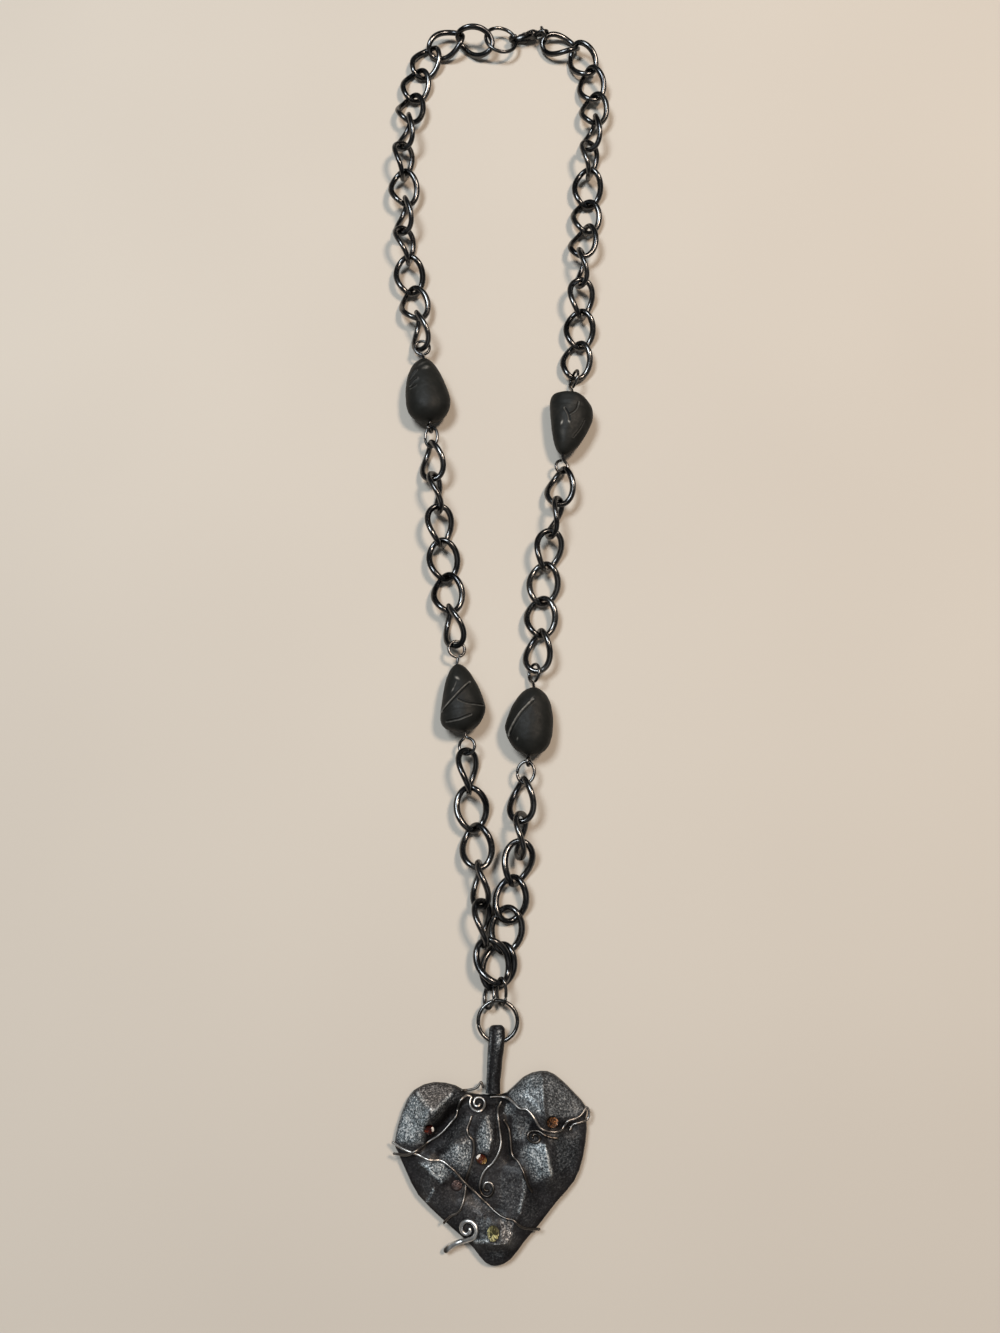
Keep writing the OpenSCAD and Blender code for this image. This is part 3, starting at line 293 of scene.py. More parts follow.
# Crests with powder and painted highlights: points, half width, amount, warmth; amounts over 1 add a
# pale painted highlight
CRESTS = [
    ([(-18.9, -99.9), (-15.5, -104.1)], 0.38, 2.2, 0.5), ([(-11.2, -100.4), (-15.1, -104)], 0.34, 1.9, 0.3),
    ([(-3, -105.3), (-2.2, -107.6), (-2, -110)], 0.38, 2, 0.6), ([(9.6, -97), (9.8, -101.5)], 0.28, 0.9, 0),
    ([(10.4, -112.5), (11.4, -117.2)], 0.36, 2.2, 0),
    ([(5.4, -118.5), (5.4, -120.5), (4.3, -125)], 0.4, 0.8, 0.2),
    ([(-15.6, -116.6), (-13.1, -118.7)], 0.4, 1.9, 0), ([(-14.9, -120.6), (-16.5, -123.2)], 0.3, 1, 0),
    ([(-5.3, -131), (-3, -130.9)], 0.42, 2, 0), ([(-2, -131.6), (1.4, -131.3)], 0.3, 0.55, 0.5),
    ([(-9.8, -110.6), (-7, -109.4)], 0.5, 0.6, 0.8),
    ([(-21.2, -105), (-20.9, -107), (-20.2, -109)], 1.6, 1.9, 0),
    ([(4.6, -100.6), (7, -101.6), (9, -103.4)], 1.1, 0.95, 0.1), ([(7, -97.4), (6.2, -99.6)], 1, 0.8, 0),
    ([(7.2, -112.6), (9, -115)], 1.5, 1.45, 0), ([(-9.8, -112.4), (-8, -113.6)], 1.5, 1.35, 0.1),
    ([(-3.3, -109.2), (-3.4, -111)], 0.9, 1.1, 0.1), ([(-13.5, -116), (-12.8, -117.4)], 1, 1.3, 0),
    ([(1.4, -127.6), (2.2, -129.4)], 0.6, 1.5, 0.7),
]


# Meshes and curves
def linked(name, data):
    piece = bpy.data.objects.new(name, data)
    bpy.context.scene.collection.objects.link(piece)
    return piece


def circle(n):
    return np.arange(n) * 2 * math.pi / n


def unit(v):
    return v / np.linalg.norm(v, axis=-1, keepdims=True)


def add(solid, verts, faces, material, slot, body="root", smooth=True, values=None):
    """A mesh piece from points in layout millimetres, riding on a body and standing for a solid."""
    name = solid + "_look"
    low, high = np.array(cad_box) * 1000 + MIDDLE
    verts = np.clip(verts, low + BOX_MARGIN, high - BOX_MARGIN)
    mesh = bpy.data.meshes.new(name)
    mesh.from_pydata([tuple(v) for v in (verts - MIDDLE) / 1000], [], faces)
    mesh.validate()
    if smooth:
        mesh.shade_smooth()
    for key, data in (values or {}).items():
        layer = mesh.attributes.new(key, "FLOAT", "POINT")
        layer.data.foreach_set("value", np.asarray(data, dtype=np.float32))
    mesh.materials.append(material)
    piece = linked(name, mesh)
    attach(piece, body)
    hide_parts(solid)


def carried(ways):
    """A crosswise direction carried along the ways without twist."""
    v = np.array([1.0, 0, 0]) if abs(ways[0][2]) > 0.9 else np.array([0, 0, 1.0])
    out = []
    for way in ways:
        v = v - (v @ way) * way
        v = v / np.linalg.norm(v)
        out.append(v)
    return np.array(out)


def bands(rows, sides, closed=False):
    """Quads between rings of points."""
    faces = []
    for k in range(rows if closed else rows - 1):
        a, b = k * sides, (k + 1) % rows * sides
        faces += [(a + m, b + m, b + (m + 1) % sides, a + (m + 1) % sides) for m in range(sides)]
    return faces


def tube(points, radii, sides, closed=False, flat=1.0, capped=True):
    """A tube along points, with a rounded cap at each end unless it is closed or not capped."""
    p = np.asarray(points, float)
    n = len(p)
    r = np.broadcast_to(np.asarray(radii, float), (n,)).copy()
    if closed:
        ways = unit(np.roll(p, -1, 0) - np.roll(p, 1, 0))
        tops = unit(p - p.mean(0))
        tops = unit(tops - (tops * ways).sum(1, keepdims=True) * ways)
    else:
        ways = unit(np.gradient(p, axis=0))
        if capped:
            cap = [(0.45, 0.9), (0.8, 0.6), (1.0, 0.12)]
            head = [p[0] - ways[0] * r[0] * a for a, _ in cap][::-1]
            tail = [p[-1] + ways[-1] * r[-1] * a for a, _ in cap]
            p = np.vstack([head, p, tail])
            r = np.concatenate([[r[0] * b for _, b in cap][::-1], r, [r[-1] * b for _, b in cap]])
            ways = np.vstack([[ways[0]] * 3, ways, [ways[-1]] * 3])
        tops = carried(ways)
        n = len(p)
    sidesways = np.cross(ways, tops)
    t = circle(sides)
    flat = np.broadcast_to(np.asarray(flat, float), (n,))[:, None, None]
    ring = np.cos(t)[None, :, None] * tops[:, None] * flat + np.sin(t)[None, :, None] * sidesways[:, None]
    verts = (p[:, None] + r[:, None, None] * ring).reshape(-1, 3)
    faces = bands(n, sides, closed)
    if not closed:
        faces += [tuple(range(sides)), tuple((n - 1) * sides + m for m in range(sides - 1, -1, -1))]
    return verts, faces


def joined(parts):
    verts, faces, start = [], [], 0
    for v, f in parts:
        verts.append(v)
        faces += [tuple(i + start for i in face) for face in f]
        start += len(v)
    return np.vstack(verts), faces


def curve(points, steps, closed=False):
    """A smooth line through the points."""
    p = np.asarray(points, float)
    n = len(p)
    out = []
    for k in range(n if closed else n - 1):
        a, b, c, d = [p[(k + i) % n] if closed else p[min(max(k + i, 0), n - 1)] for i in (-1, 0, 1, 2)]
        for t in np.arange(steps) / steps:
            out.append(0.5 * (2 * b + (c - a) * t + (2 * a - 5 * b + 4 * c - d) * t * t
                              + (3 * b - a - 3 * c + d) * t ** 3))
    if not closed:
        out.append(p[-1])
    return np.array(out)


def rolled(p, roll):
    r = math.radians(roll)
    y = p[..., 1] * math.cos(r) - p[..., 2] * math.sin(r)
    z = p[..., 1] * math.sin(r) + p[..., 2] * math.cos(r)
    return np.stack([p[..., 0], y, z], -1)


def placed(p, at, ahead):
    """Points whose x runs ahead, y to the left and z up from a place."""
    side = unit(np.cross([0, 0, 1.0], ahead))
    up = np.cross(ahead, side)
    return np.asarray(at) + p[..., :1] * ahead + p[..., 1:2] * side + p[..., 2:] * up


def ahead_of(heading, pitch):
    h, q = math.radians(heading), math.radians(pitch)
    return np.array([math.cos(h) * math.cos(q), math.sin(h) * math.cos(q), math.sin(q)])


def ring_line(row, angles, pull=0.0):
    """Points of a ring at these angles, its length pulled out by a little."""
    t = np.radians(angles)
    p = np.stack([(row[6] + pull) * np.cos(t), row[7] * np.sin(t), 0 * t], 1)
    return placed(rolled(p, row[5]), row[:3], ahead_of(row[3], row[4]))


def wobble(points, size, scale, seed):
    """Small seeded unevenness of hand-bent wire."""
    shift = [noise.noise_vector(Vector(p) * scale + Vector((seed, seed * 1.7, 0))) for p in points]
    return points + size * np.array([tuple(s) for s in shift])


# Chains: the wire keeps close to the outline of the solid link and swells inwards, most along its sides
WIRE_ROUND, WIRE_OUT, END_IN, SIDE_IN = 0.69, 0.05, 0.2, 0.42


def link_line(steps, thick=False):
    """Middle line of a twisted link; thick keeps the outside of a thicker wire where it was."""
    t = circle(steps)
    lean = -np.radians(LINK_TWIST / 2) * np.cos(t)
    reach = (LINK_HALF_WIDTH - (SIDE_IN - WIRE_OUT) / 2 * thick) * np.sin(t)
    return np.stack([(LINK_HALF_LENGTH - (END_IN - WIRE_OUT) / 2 * thick) * np.cos(t), reach * np.cos(lean),
                     reach * np.sin(lean)], 1)


def link_tube(line):
    t = circle(len(line))
    half = (LINK_WIRE + WIRE_OUT + END_IN + (SIDE_IN - END_IN) * np.sin(t) ** 2) / 2
    return tube(line, WIRE_ROUND, 16, True, half / WIRE_ROUND)


def link_height(roll):
    return np.abs(rolled(link_line(16), roll)[:, 2]).max() + LINK_WIRE / 2


def chain_links(start, lift, rows):
    """Middle lines of a run's links, each laid between its two joints."""
    flat = [np.array(start, float)]
    for row in rows:
        way = np.array(row[:2]) - flat[-1]
        far = np.linalg.norm(way)
        flat.append(flat[-1] + min(LINK_PITCH, far) * way / far)
    high = [link_height(row[2]) for row in rows]
    z = [high[0]] + [max(a, b) for a, b in zip(high, high[1:])] + [high[-1] + lift]
    places = [np.array([f[0], f[1], h]) for f, h in zip(flat, z)]
    for a, b, row in zip(places, places[1:], rows):
        ahead = unit(b - a)
        slip = row[3] if len(row) > 3 else 0
        yield placed(rolled(link_line(56, True), row[2]), (a + b) / 2 + slip * ahead, ahead)


# Heart surface
def rim_distance(angles):
    """How far the outline is from the heart's middle at these angles."""
    a = curve(HEART_OUTLINE, 2, True) - HEART_MIDDLE
    b = np.roll(a, -1, 0)
    edge = b - a
    way = np.stack([np.cos(angles), np.sin(angles)], -1)[..., None, :]
    det = way[..., 0] * edge[:, 1] - way[..., 1] * edge[:, 0]
    det = np.where(np.abs(det) < 1e-4, np.nan, det)
    far = (a[:, 0] * edge[:, 1] - a[:, 1] * edge[:, 0]) / det
    share = (a[:, 0] * way[..., 1] - a[:, 1] * way[..., 0]) / det
    return np.nanmax(np.where((share >= 0) & (share <= 1) & (far > 0), far, -1), -1)


def rim_share(p):
    """A spot's share of the way from the heart's middle to its outline."""
    v = p - HEART_MIDDLE
    return np.linalg.norm(v, axis=-1) / rim_distance(np.arctan2(v[..., 1], v[..., 0]))


def off_line(p, row):
    """Distance from the straight line that a row starts with."""
    a, way = np.array(row[:2]), np.array(row[2:4]) - np.array(row[:2])
    share = np.clip((p - a) @ way / (way @ way), 0, 1)
    return np.linalg.norm(p - a - share[..., None] * way, axis=-1)


def off_path(p, line):
    """Distance from a line of points, negative on its right."""
    best, side = np.full(p.shape[:-1], 99.0), np.ones(p.shape[:-1])
    for a, b in zip(line, line[1:]):
        d = off_line(p, (*a, *b))
        turn = (b[0] - a[0]) * (p[..., 1] - a[1]) - (b[1] - a[1]) * (p[..., 0] - a[0])
        side = np.where(d < best, np.sign(turn), side)
        best = np.minimum(d, best)
    return best * side


def relief(p):
    high = sum(row[4] * np.clip(1 - off_line(p, row) / row[5], 0, None) for row in HEART_CREASES)
    return high + sum(row[4] * np.exp(-(off_line(p, row) / row[5]) ** 2) for row in HEART_SWELLS)


def heart_height(p, fine=False):
    """Height of the heart's face; fine adds the folds that only the finished surface has."""
    share = np.minimum(1, rim_share(p))
    high = RIM_THICK + (HEART_SWELL + relief(p)) * (1 - share ** 6)
    if not fine:
        return high
    high = high + folds(seen(p, high)) * (1 - share ** 10)
    pressed = FOLD_LIMIT + FOLD_ROOM * (1 - np.exp(-(high - FOLD_LIMIT) / FOLD_ROOM))
    return np.where(high > FOLD_LIMIT, pressed, high)


def seen(p, high):
    """Where the camera sees a spot of the face, on the plane that the heart lies on."""
    return EYE_FOOT + (p - EYE_FOOT) * (EYE_HIGH / (EYE_HIGH - high))[..., None]


def folds(q):
    total = np.zeros(q.shape[:-1])
    for line, high, left, right in FOLDS:
        d = off_path(q, line)
        flank = np.clip(np.abs(d) / np.where(d > 0, left, right), 0, 1)
        rise = high * (1 - flank) ** 1.5
        total = np.maximum(total, rise) if high > 0 else total + rise
    return total


def patch(q, corners):
    """One inside a patch, falling to nothing over the softness of its edges."""
    inside = np.ones(q.shape[:-1])
    area = sum(a[0] * b[1] - a[1] * b[0] for a, b in zip(corners, corners[1:] + corners[:1]))
    for a, b in zip(corners, corners[1:] + corners[:1]):
        edge = np.array([b[0] - a[0], b[1] - a[1]])
        depth = edge[0] * (q[..., 1] - a[1]) - edge[1] * (q[..., 0] - a[0])
        depth = depth / np.linalg.norm(edge) * np.sign(area)
        inside = np.minimum(inside, np.clip(0.5 + depth / a[2], 0, 1))
    return inside * inside * (3 - 2 * inside)


# Materials: each helper works in the node tree of the socket or shader that it is given
def material(name, build):
    m = bpy.data.materials.new(name)
    m.use_nodes = True
    build(m.node_tree.nodes["Principled BSDF"])
    return m


def feed(socket, value):
    """Links a value to a socket, or sets it as a number or a colour."""
    if hasattr(value, "links"):
        socket.id_data.links.new(value, socket)
    else:
        socket.default_value = (*value, 1) if isinstance(value, tuple) else value


def dress(s, looks):
    for key, value in looks.items():
        feed(s.inputs[key], value)


def node(of, kind, **settings):
    n = of.id_data.nodes.new(kind)
    for key, value in settings.items():
        if key in n.inputs:
            feed(n.inputs[key], value)
        else:
            setattr(n, key, value)
    return n


def place(s):
    return node(s, "ShaderNodeTexCoord").outputs["Object"]


def marks_on(s, name):
    """A value that the mesh carries at each point or corner."""
    return node(s, "ShaderNodeAttribute", attribute_name=name).outputs["Fac"]


def noise_at(at, scale, detail, rough=0.6):
    n = node(at, "ShaderNodeTexNoise", Vector=at, Scale=scale, Detail=detail, Roughness=rough)
    return n.outputs["Fac"]


def ramp(value, stops):
    """Stops of a place and a colour, or a number for a grey."""
    r = node(value, "ShaderNodeValToRGB", Fac=value)
    while len(r.color_ramp.elements) < len(stops):
        r.color_ramp.elements.new(0.5)
    for e, (at, colour) in zip(r.color_ramp.elements, stops):
        e.position = at
        e.color = (*np.broadcast_to(colour, 3), 1)
    return r.outputs["Color"]


def mix(factor, a, b):
    m = node(factor, "ShaderNodeMix", data_type="RGBA")
    feed(m.inputs[0], factor)
    for key, value in (("A", a), ("B", b)):
        feed([s for s in m.inputs if s.name == key and s.type == "RGBA"][0], value)
    return [s for s in m.outputs if s.type == "RGBA"][0]


def math_node(operation, a, b, clamp=False):
    m = node(a if hasattr(a, "links") else b, "ShaderNodeMath", operation=operation, use_clamp=clamp)
    for socket, value in zip(m.inputs, (a, b)):
        feed(socket, value)
    return m.outputs[0]


def times(a, b, clamp=False):
    return math_node("MULTIPLY", a, b, clamp)


def bump(s, height, strength, distance):
    b = node(height, "ShaderNodeBump", Height=height, Strength=strength, Distance=distance)
    feed(s.inputs["Normal"], b.outputs["Normal"])


def metal(dark, light, rough, patches=90.0):
    """Blackened steel: dark plating with lighter patches of wear, darker and browner where the mesh
    marks it.
    """
    def build(s):
        at = place(s)
        broad = noise_at(at, patches, 3)
        fine = noise_at(at, 1800, 3, 0.7)
        plating = ramp(broad, [(0.35, dark), (0.7, light)])
        dress(s, {"Base Color": mix(marks_on(s, "darker_brown"), plating, (0.05, 0.042, 0.036)),
                  "Roughness": ramp(fine, [(0.3, rough - 0.07), (0.75, rough + 0.13)]), "Metallic": 1.0})
        bump(s, fine, 0.25, 0.00004)
    return build


def bead_stone(s):
    """Near-black stone: "cut" darkens the carving with painted shade, and painted highlights pale the
    carving's edges and small spots.
    """
    at = place(s)
    cloud = noise_at(at, 160, 5)
    grain = noise_at(at, 1500, 4, 0.7)
    body = ramp(cloud, [(0.3, (0.008, 0.0083, 0.0075)), (0.6, (0.0125, 0.0128, 0.0115)),
                        (0.78, (0.026, 0.0235, 0.02))])
    patchy = ramp(grain, [(0.35, 0.3), (0.6, 1)])
    # Painted highlights: the carving's edges and small spots turn pale
    glinted_body = mix(times(marks_on(s, "painted_glint"), patchy), body, (0.48, 0.46, 0.42))
    # Painted shade: "cut" darkens the carved grooves
    dress(s, {"Base Color": mix(marks_on(s, "cut"), glinted_body, (0.004, 0.004, 0.0035)),
              "Roughness": ramp(grain, [(0.3, 0.42), (0.75, 0.58)]), "Specular IOR Level": 0.13})
    bump(s, grain, 0.35, 0.00007)


def clay(s):
    """Dark clay rubbed with metallic powder: "high" is how much a spot holds, partly painted light,
    with a painted highlight over 1, "warm" turns it from silver-blue to brown, and "deep" paints shade
    into the hollows and dulls them."""
    at = place(s)
    high, warm, deep = marks_on(s, "high"), marks_on(s, "warm"), marks_on(s, "deep")
    fleck = noise_at(at, 2300, 4, 0.75)
    cloud = noise_at(at, 330, 5, 0.65)
    broad = noise_at(at, 140, 3)
    blue = ramp(cloud, [(0.3, (0.005, 0.0048, 0.0055)), (0.7, (0.015, 0.0145, 0.016))])
    red = ramp(cloud, [(0.3, (0.007, 0.0058, 0.0061)), (0.7, (0.02, 0.017, 0.0172))])
    # Painted shade: "deep" darkens the clay towards black in the hollows
    base = mix(deep, mix(broad, blue, red), (0.0025, 0.0022, 0.0025))
    silver = ramp(fleck, [(0.36, (0.03, 0.038, 0.045)), (0.48, (0.14, 0.17, 0.19)),
                          (0.56, (0.36, 0.42, 0.45)), (0.65, (1, 1, 1))])
    brown = ramp(fleck, [(0.36, (0.03, 0.025, 0.024)), (0.49, (0.13, 0.112, 0.102)),
                         (0.58, (0.31, 0.27, 0.245)), (0.67, (0.98, 0.9, 0.82))])
    # Painted highlight: over 1, "high" turns the powder pale
    painted_highlight = times(math_node("SUBTRACT", high, 1), 0.8, True)
    painted_highlight = times(painted_highlight, ramp(fleck, [(0.42, 0.1), (0.58, 1)]))
    painted_highlight = times(painted_highlight, ramp(cloud, [(0.38, 0.15), (0.55, 1)]))
    powder_and_light = mix(painted_highlight, mix(warm, silver, brown), (0.62, 0.62, 0.6))
    amount = times(high, ramp(cloud, [(0.33, 0.45), (0.6, 1)]))
    amount = times(amount, ramp(fleck, [(0.36, 0.35), (0.56, 1)]), True)
    shine = times(math_node("SUBTRACT", 1.1, deep), 0.18)
    dress(s, {"Base Color": mix(amount, base, powder_and_light), "Metallic": times(amount, 0.3),
              "Roughness": ramp(fleck, [(0.3, 0.42), (0.7, 0.34)]), "Specular IOR Level": shine})
    both = math_node("ADD", times(cloud, 0.6), fleck)
    bump(s, both, 0.5, 0.00011)


def glass(deep, bright):
    """A cut stone: deep colour, with "facet" the painted brightness of a facet, lit from one side, and
    "glint" a painted white highlight.
    """
    def build(s):
        fine = noise_at(place(s), 900, 2)
        tone = math_node("ADD", marks_on(s, "facet"), times(fine, 0.3))
        middle = tuple(0.5 * d + 0.35 * b for d, b in zip(deep, bright))
        colour = ramp(tone, [(0.2, deep), (0.6, middle), (1, bright)])
        dress(s, {"Base Color": mix(marks_on(s, "glint"), colour, (1, 0.93, 0.85)),
                  "Roughness": 0.1, "Metallic": 0.1, "Coat Weight": 1, "Coat Roughness": 0.04})
    return build


GUNMETAL = material("chain_gunmetal", metal((0.045, 0.046, 0.049), (0.15, 0.147, 0.143), 0.19))
DARK_WIRE = material("ring_gunmetal", metal((0.045, 0.045, 0.047), (0.16, 0.156, 0.15), 0.2, 200))
CLASP_METAL = material("clasp_gunmetal", metal((0.03, 0.03, 0.032), (0.1, 0.098, 0.095), 0.24, 260))
BROWN_WIRE = material("thin_wire_brown", metal((0.13, 0.112, 0.098), (0.3, 0.265, 0.235), 0.34, 260))
BRIGHT_WIRE = material("heart_wire_steel", metal((0.34, 0.32, 0.3), (0.66, 0.63, 0.6), 0.34, 260))
SILVER_WIRE = material("spiral_wire_silver", metal((0.42, 0.42, 0.42), (0.78, 0.78, 0.77), 0.36, 300))
STONE = material("bead_stone_black", bead_stone)
CLAY = material("heart_clay_powdered", clay)
GLASS = {"stone_" + tint: material("glass_" + tint, glass(*colours)) for tint, colours in {
    "red": ((0.02, 0.003, 0.002), (0.22, 0.03, 0.01)),
    "amber": ((0.06, 0.011, 0.006), (1, 0.66, 0.2)),
    "orange": ((0.012, 0.006, 0.004), (0.52, 0.21, 0.075)),
    "pink": ((0.035, 0.023, 0.022), (0.3, 0.205, 0.185)),
    "green": ((0.04, 0.036, 0.016), (0.85, 0.78, 0.34)),
}.items()}

# Chains and rings
for name, (start, lift, rows) in CHAINS.items():
    parts = [link_tube(line) for line in chain_links(start, lift, rows)]
    add(name, *joined(parts), GUNMETAL, "chain_metal")

for name, (row, wire) in RINGS.items():
    # The ends of the wire nearly meet at 100 degrees
    gap = 4 if name in ("clasp_ring", "pendant_ring") else 7
    line = ring_line(row, np.linspace(100 + gap, 460 - gap, 64))
    add(name, *tube(line, wire / 2 + RING_EXTRA, 14), DARK_WIRE, "wire_metal")


def bead_frame(bead):
    """A bead's length, the middle of its end and the direction to its top."""
    top, end = np.array(bead[0], float), np.array(bead[1], float)
    length = np.linalg.norm(top - end)
    heading = math.degrees(math.atan2(*(top - end)[::-1]))
    return length, np.array([end[0], end[1], BEAD_THICK / 2]), ahead_of(heading, 0)


def side_share(t, side):
    """Share of its half width that a side has, from the top, 0, to the end, 1."""
    below = np.sqrt(np.clip(1 - np.abs((side[1] - t) / side[1]) ** side[2], 0, None))
    above = np.sqrt(np.clip(1 - np.abs((t - side[1]) / (1 - side[1])) ** side[3], 0, None))
    return np.where(t < side[1], below, above)


for name, bead in BEADS.items():
    length, at, ahead = bead_frame(bead)
    sides, rows = 200, 180
    t = (1 - np.cos(np.pi * np.arange(1, rows + 1) / (rows + 1))) / 2
    angle = circle(sides)
    left, right = side_share(t, bead[2]), side_share(t, bead[3])
    across = np.where(np.cos(angle)[None] < 0, (left * bead[2][0])[:, None], (right * bead[3][0])[:, None])
    high = (BEAD_THICK / 2 * np.maximum(left, right) ** 0.8)[:, None]
    local = np.stack([np.broadcast_to(((1 - t) * length)[:, None], across.shape), -across * np.cos(angle),
                      high * np.sin(angle)], -1)
    verts = placed(local, at, ahead).reshape(-1, 3)
    inward = unit(at + ahead * length / 2 - verts)
    cut, painted_glint = np.zeros((2, len(verts)))
    # Each groove has a raised edge on both sides, painted shade inside and a painted highlight on its right
    for line, half, deep in GROOVES[name]:
        d = off_path(verts[:, :2], curve(line, 8))
        groove = np.exp(-(d / half) ** 2) - 0.35 * np.exp(-((np.abs(d) - 2.6 * half) / half) ** 2)
        upper = verts[:, 2] > at[2] - 1
        cut = np.where(np.abs(groove * deep) > np.abs(cut), groove * deep * upper, cut)
        painted_glint = np.maximum(painted_glint, 4 * deep ** 2 * np.exp(-((d + 1.8 * half) / (0.75 * half)) ** 2) * upper)
    # Painted highlights: small glints on the upper face
    for x, y, long, wide, turn, bright in GLINT_SPOTS[name]:
        dx, dy, w = verts[:, 0] - x, verts[:, 1] - y, math.radians(turn)
        along, off = dx * math.cos(w) + dy * math.sin(w), dy * math.cos(w) - dx * math.sin(w)
        spot = np.exp(-np.hypot(along / long, off / wide) ** 2)
        painted_glint = np.maximum(painted_glint, bright * spot * (verts[:, 2] > at[2]))
    rough = np.array([noise.noise(Vector(v) * 0.35) + 0.5 * noise.noise(Vector(v) * 0.9) for v in verts])
    verts = verts + inward * (cut + 0.14 + 0.09 * rough)[:, None]
    verts[:, 2] = np.maximum(verts[:, 2], 0.12)
    verts = np.vstack([verts, at + ahead * (length - 0.12), at + ahead * 0.12])
    n = rows * sides
    faces = bands(rows, sides)
    faces += [(n, m, (m + 1) % sides) for m in range(sides)]
    faces += [(n + 1, n - sides + (m + 1) % sides, n - sides + m) for m in range(sides)]
    marks = {"cut": [*np.clip(cut / 0.2, 0, 1), 0, 0], "painted_glint": [*np.clip(painted_glint, 0, 1), 0, 0]}
    add(name, verts, faces, STONE, "bead_stone", values=marks)

for name, (top_eye, end_eye) in EYES.items():
    length, at, ahead = bead_frame(BEADS[name.replace("pin", "bead")])
    parts = []
    for eye, root, hole in ((top_eye, 180, at + ahead * length), (end_eye, 0, at)):
        gap = math.degrees(2 * math.asin(EYE_OPENING / eye[6]))
        loop = ring_line(eye, np.linspace(root + gap, root + EYE_END, 36))
        neck = ring_line(eye, np.array([root]), EYE_NECK)
        parts.append(np.vstack([loop, neck, [hole]]))
    line = np.vstack([parts[0], parts[1][::-1]])
    add(name, *tube(line, PIN_WIRE / 2 + PIN_EXTRA, 12), DARK_WIRE, "wire_metal")


# Clasp: the claw and its lever lie in the claw's own plane
def claw_points(points):
    h, r = math.radians(CLAW_HEADING), math.radians(CLAW_ROLL)
    turn = np.array(Matrix.Rotation(h, 3, "Z") @ Matrix.Rotation(r, 3, "X"))
    return np.array(CLAW_PLACE) + np.asarray(points, float) @ turn.T


def claw_sweep(points, radii, sides, flat):
    """A rounded bar along a line in the claw's plane: radii in that plane, and thickness as a share of it."""
    line = curve(points, 14)
    widths = curve([(r,) for r in radii], 12)[:, 0]
    width = np.interp(np.linspace(0, 1, len(line)), np.linspace(0, 1, len(widths)), widths)
    verts, faces = tube(np.column_stack([line, 0 * width]), width, sides)
    verts[:, 2] *= flat
    return claw_points(verts), faces


# Hook and body, then a cheek on each side and the eye
claw_parts = [
    claw_sweep([(1.92, -1.6), (1.3, -1.5), (0.75, -1.05), (0.42, 0), (0.85, 1.15), (2.15, 1.75), (3.6, 1.72),
                (5.0, 1.45)],
               [0.34, 0.38, 0.42, 0.45, 0.48, 0.55, 0.7, 0.95], 32, 1.6),
    claw_sweep([(4.6, 1.5), (5.8, 1.05), (6.9, 0.35), (7.9, 0.1), (8.5, 0)],
               [0.9, 1.15, 1.8, 1.6, 0.9], 48, 0.78),
]
for side in (-1, 1):
    cheek = claw_sweep([(5.0, 0.2), (6.6, -0.1), (7.9, -0.1)], [0.7, 1.55, 0.8], 40, 0.3)
    lift = claw_points([(0, 0, 0.68 * side)]) - claw_points([(0, 0, 0)])
    claw_parts.append((cheek[0] + lift, cheek[1]))
eye_ring = [(CLAW_EYE + CLAW_EYE_RADIUS * math.cos(a), CLAW_EYE_RADIUS * math.sin(a), 0) for a in circle(40)]
claw_parts.append(tube(claw_points(eye_ring), 0.46, 14, True))
add("clasp_claw", *joined(claw_parts), CLASP_METAL, "wire_metal")
# The gate that meets the hook, and the thumb piece
lever_parts = [
    claw_sweep([(2.95, -1.6), (4.2, -1.62), (5.2, -1.45), (6.2, -0.75), (6.6, -0.3)],
               [0.32, 0.42, 0.45, 0.55, 0.6], 24, 0.72),
    claw_sweep([(6.3, -1.2), (6.15, -2.0), (6.0, -2.7)], [0.55, 0.62, 0.7], 24, 0.66),
]
add("clasp_lever", *joined(lever_parts), CLASP_METAL, "wire_metal", body="lever")

# Heart: rings of points from the rim inwards, with an uneven skin
sides, rows = 480, 120
angle = circle(sides)
ways = np.stack([np.cos(angle), np.sin(angle)], 1)
rims = rim_distance(angle)[:, None] * ways
share = 0.985 * (1 - np.arange(rows) / rows) ** 0.85
flat = HEART_MIDDLE + share[:, None, None] * rims[None]
high = heart_height(flat, True)
grain = np.array([noise.noise(Vector((*p, 0)) * 0.55) + 0.6 * noise.noise(Vector((*p, 3)) * 1.3)
                  for p in flat.reshape(-1, 2)]).reshape(high.shape)
high = high - 0.12 + 0.08 * grain * (1 - share[:, None] ** 8)
# Pockets round the stones
for x, y, rx, ry, _, lift, *_ in STONES.values():
    d = np.linalg.norm(flat - (x, y), axis=-1) / (max(rx, ry) + POCKET_GAP)
    floor = heart_height(np.array([x, y])) + lift - STONE_PAVILION * 0.7
    high = np.where(d < 1, np.minimum(high, floor + 0.6 * d ** 4), high)
top = np.concatenate([flat, high[..., None]], -1)
edge = [np.concatenate([HEART_MIDDLE + scale * rims, np.full((sides, 1), z)], 1) for scale, z in (
    (0.96, 0.0), (0.984, 0.25), (0.997, 0.75), (1.0, 1.1), (0.998, 1.6), (0.993, 2.05))]
grid = np.concatenate([np.array(edge), top])
verts = np.vstack([grid.reshape(-1, 3), [*HEART_MIDDLE, float(heart_height(HEART_MIDDLE + [0.01, 0])) - 0.1],
                   [*HEART_MIDDLE, 0]])
count = len(grid)
faces = [(a, d, c, b) for a, b, c, d in bands(count, sides)]
last = (count - 1) * sides
faces += [(last + m, last + (m + 1) % sides, len(verts) - 2) for m in range(sides)]
faces += [((m + 1) % sides, m, len(verts) - 1) for m in range(sides)]
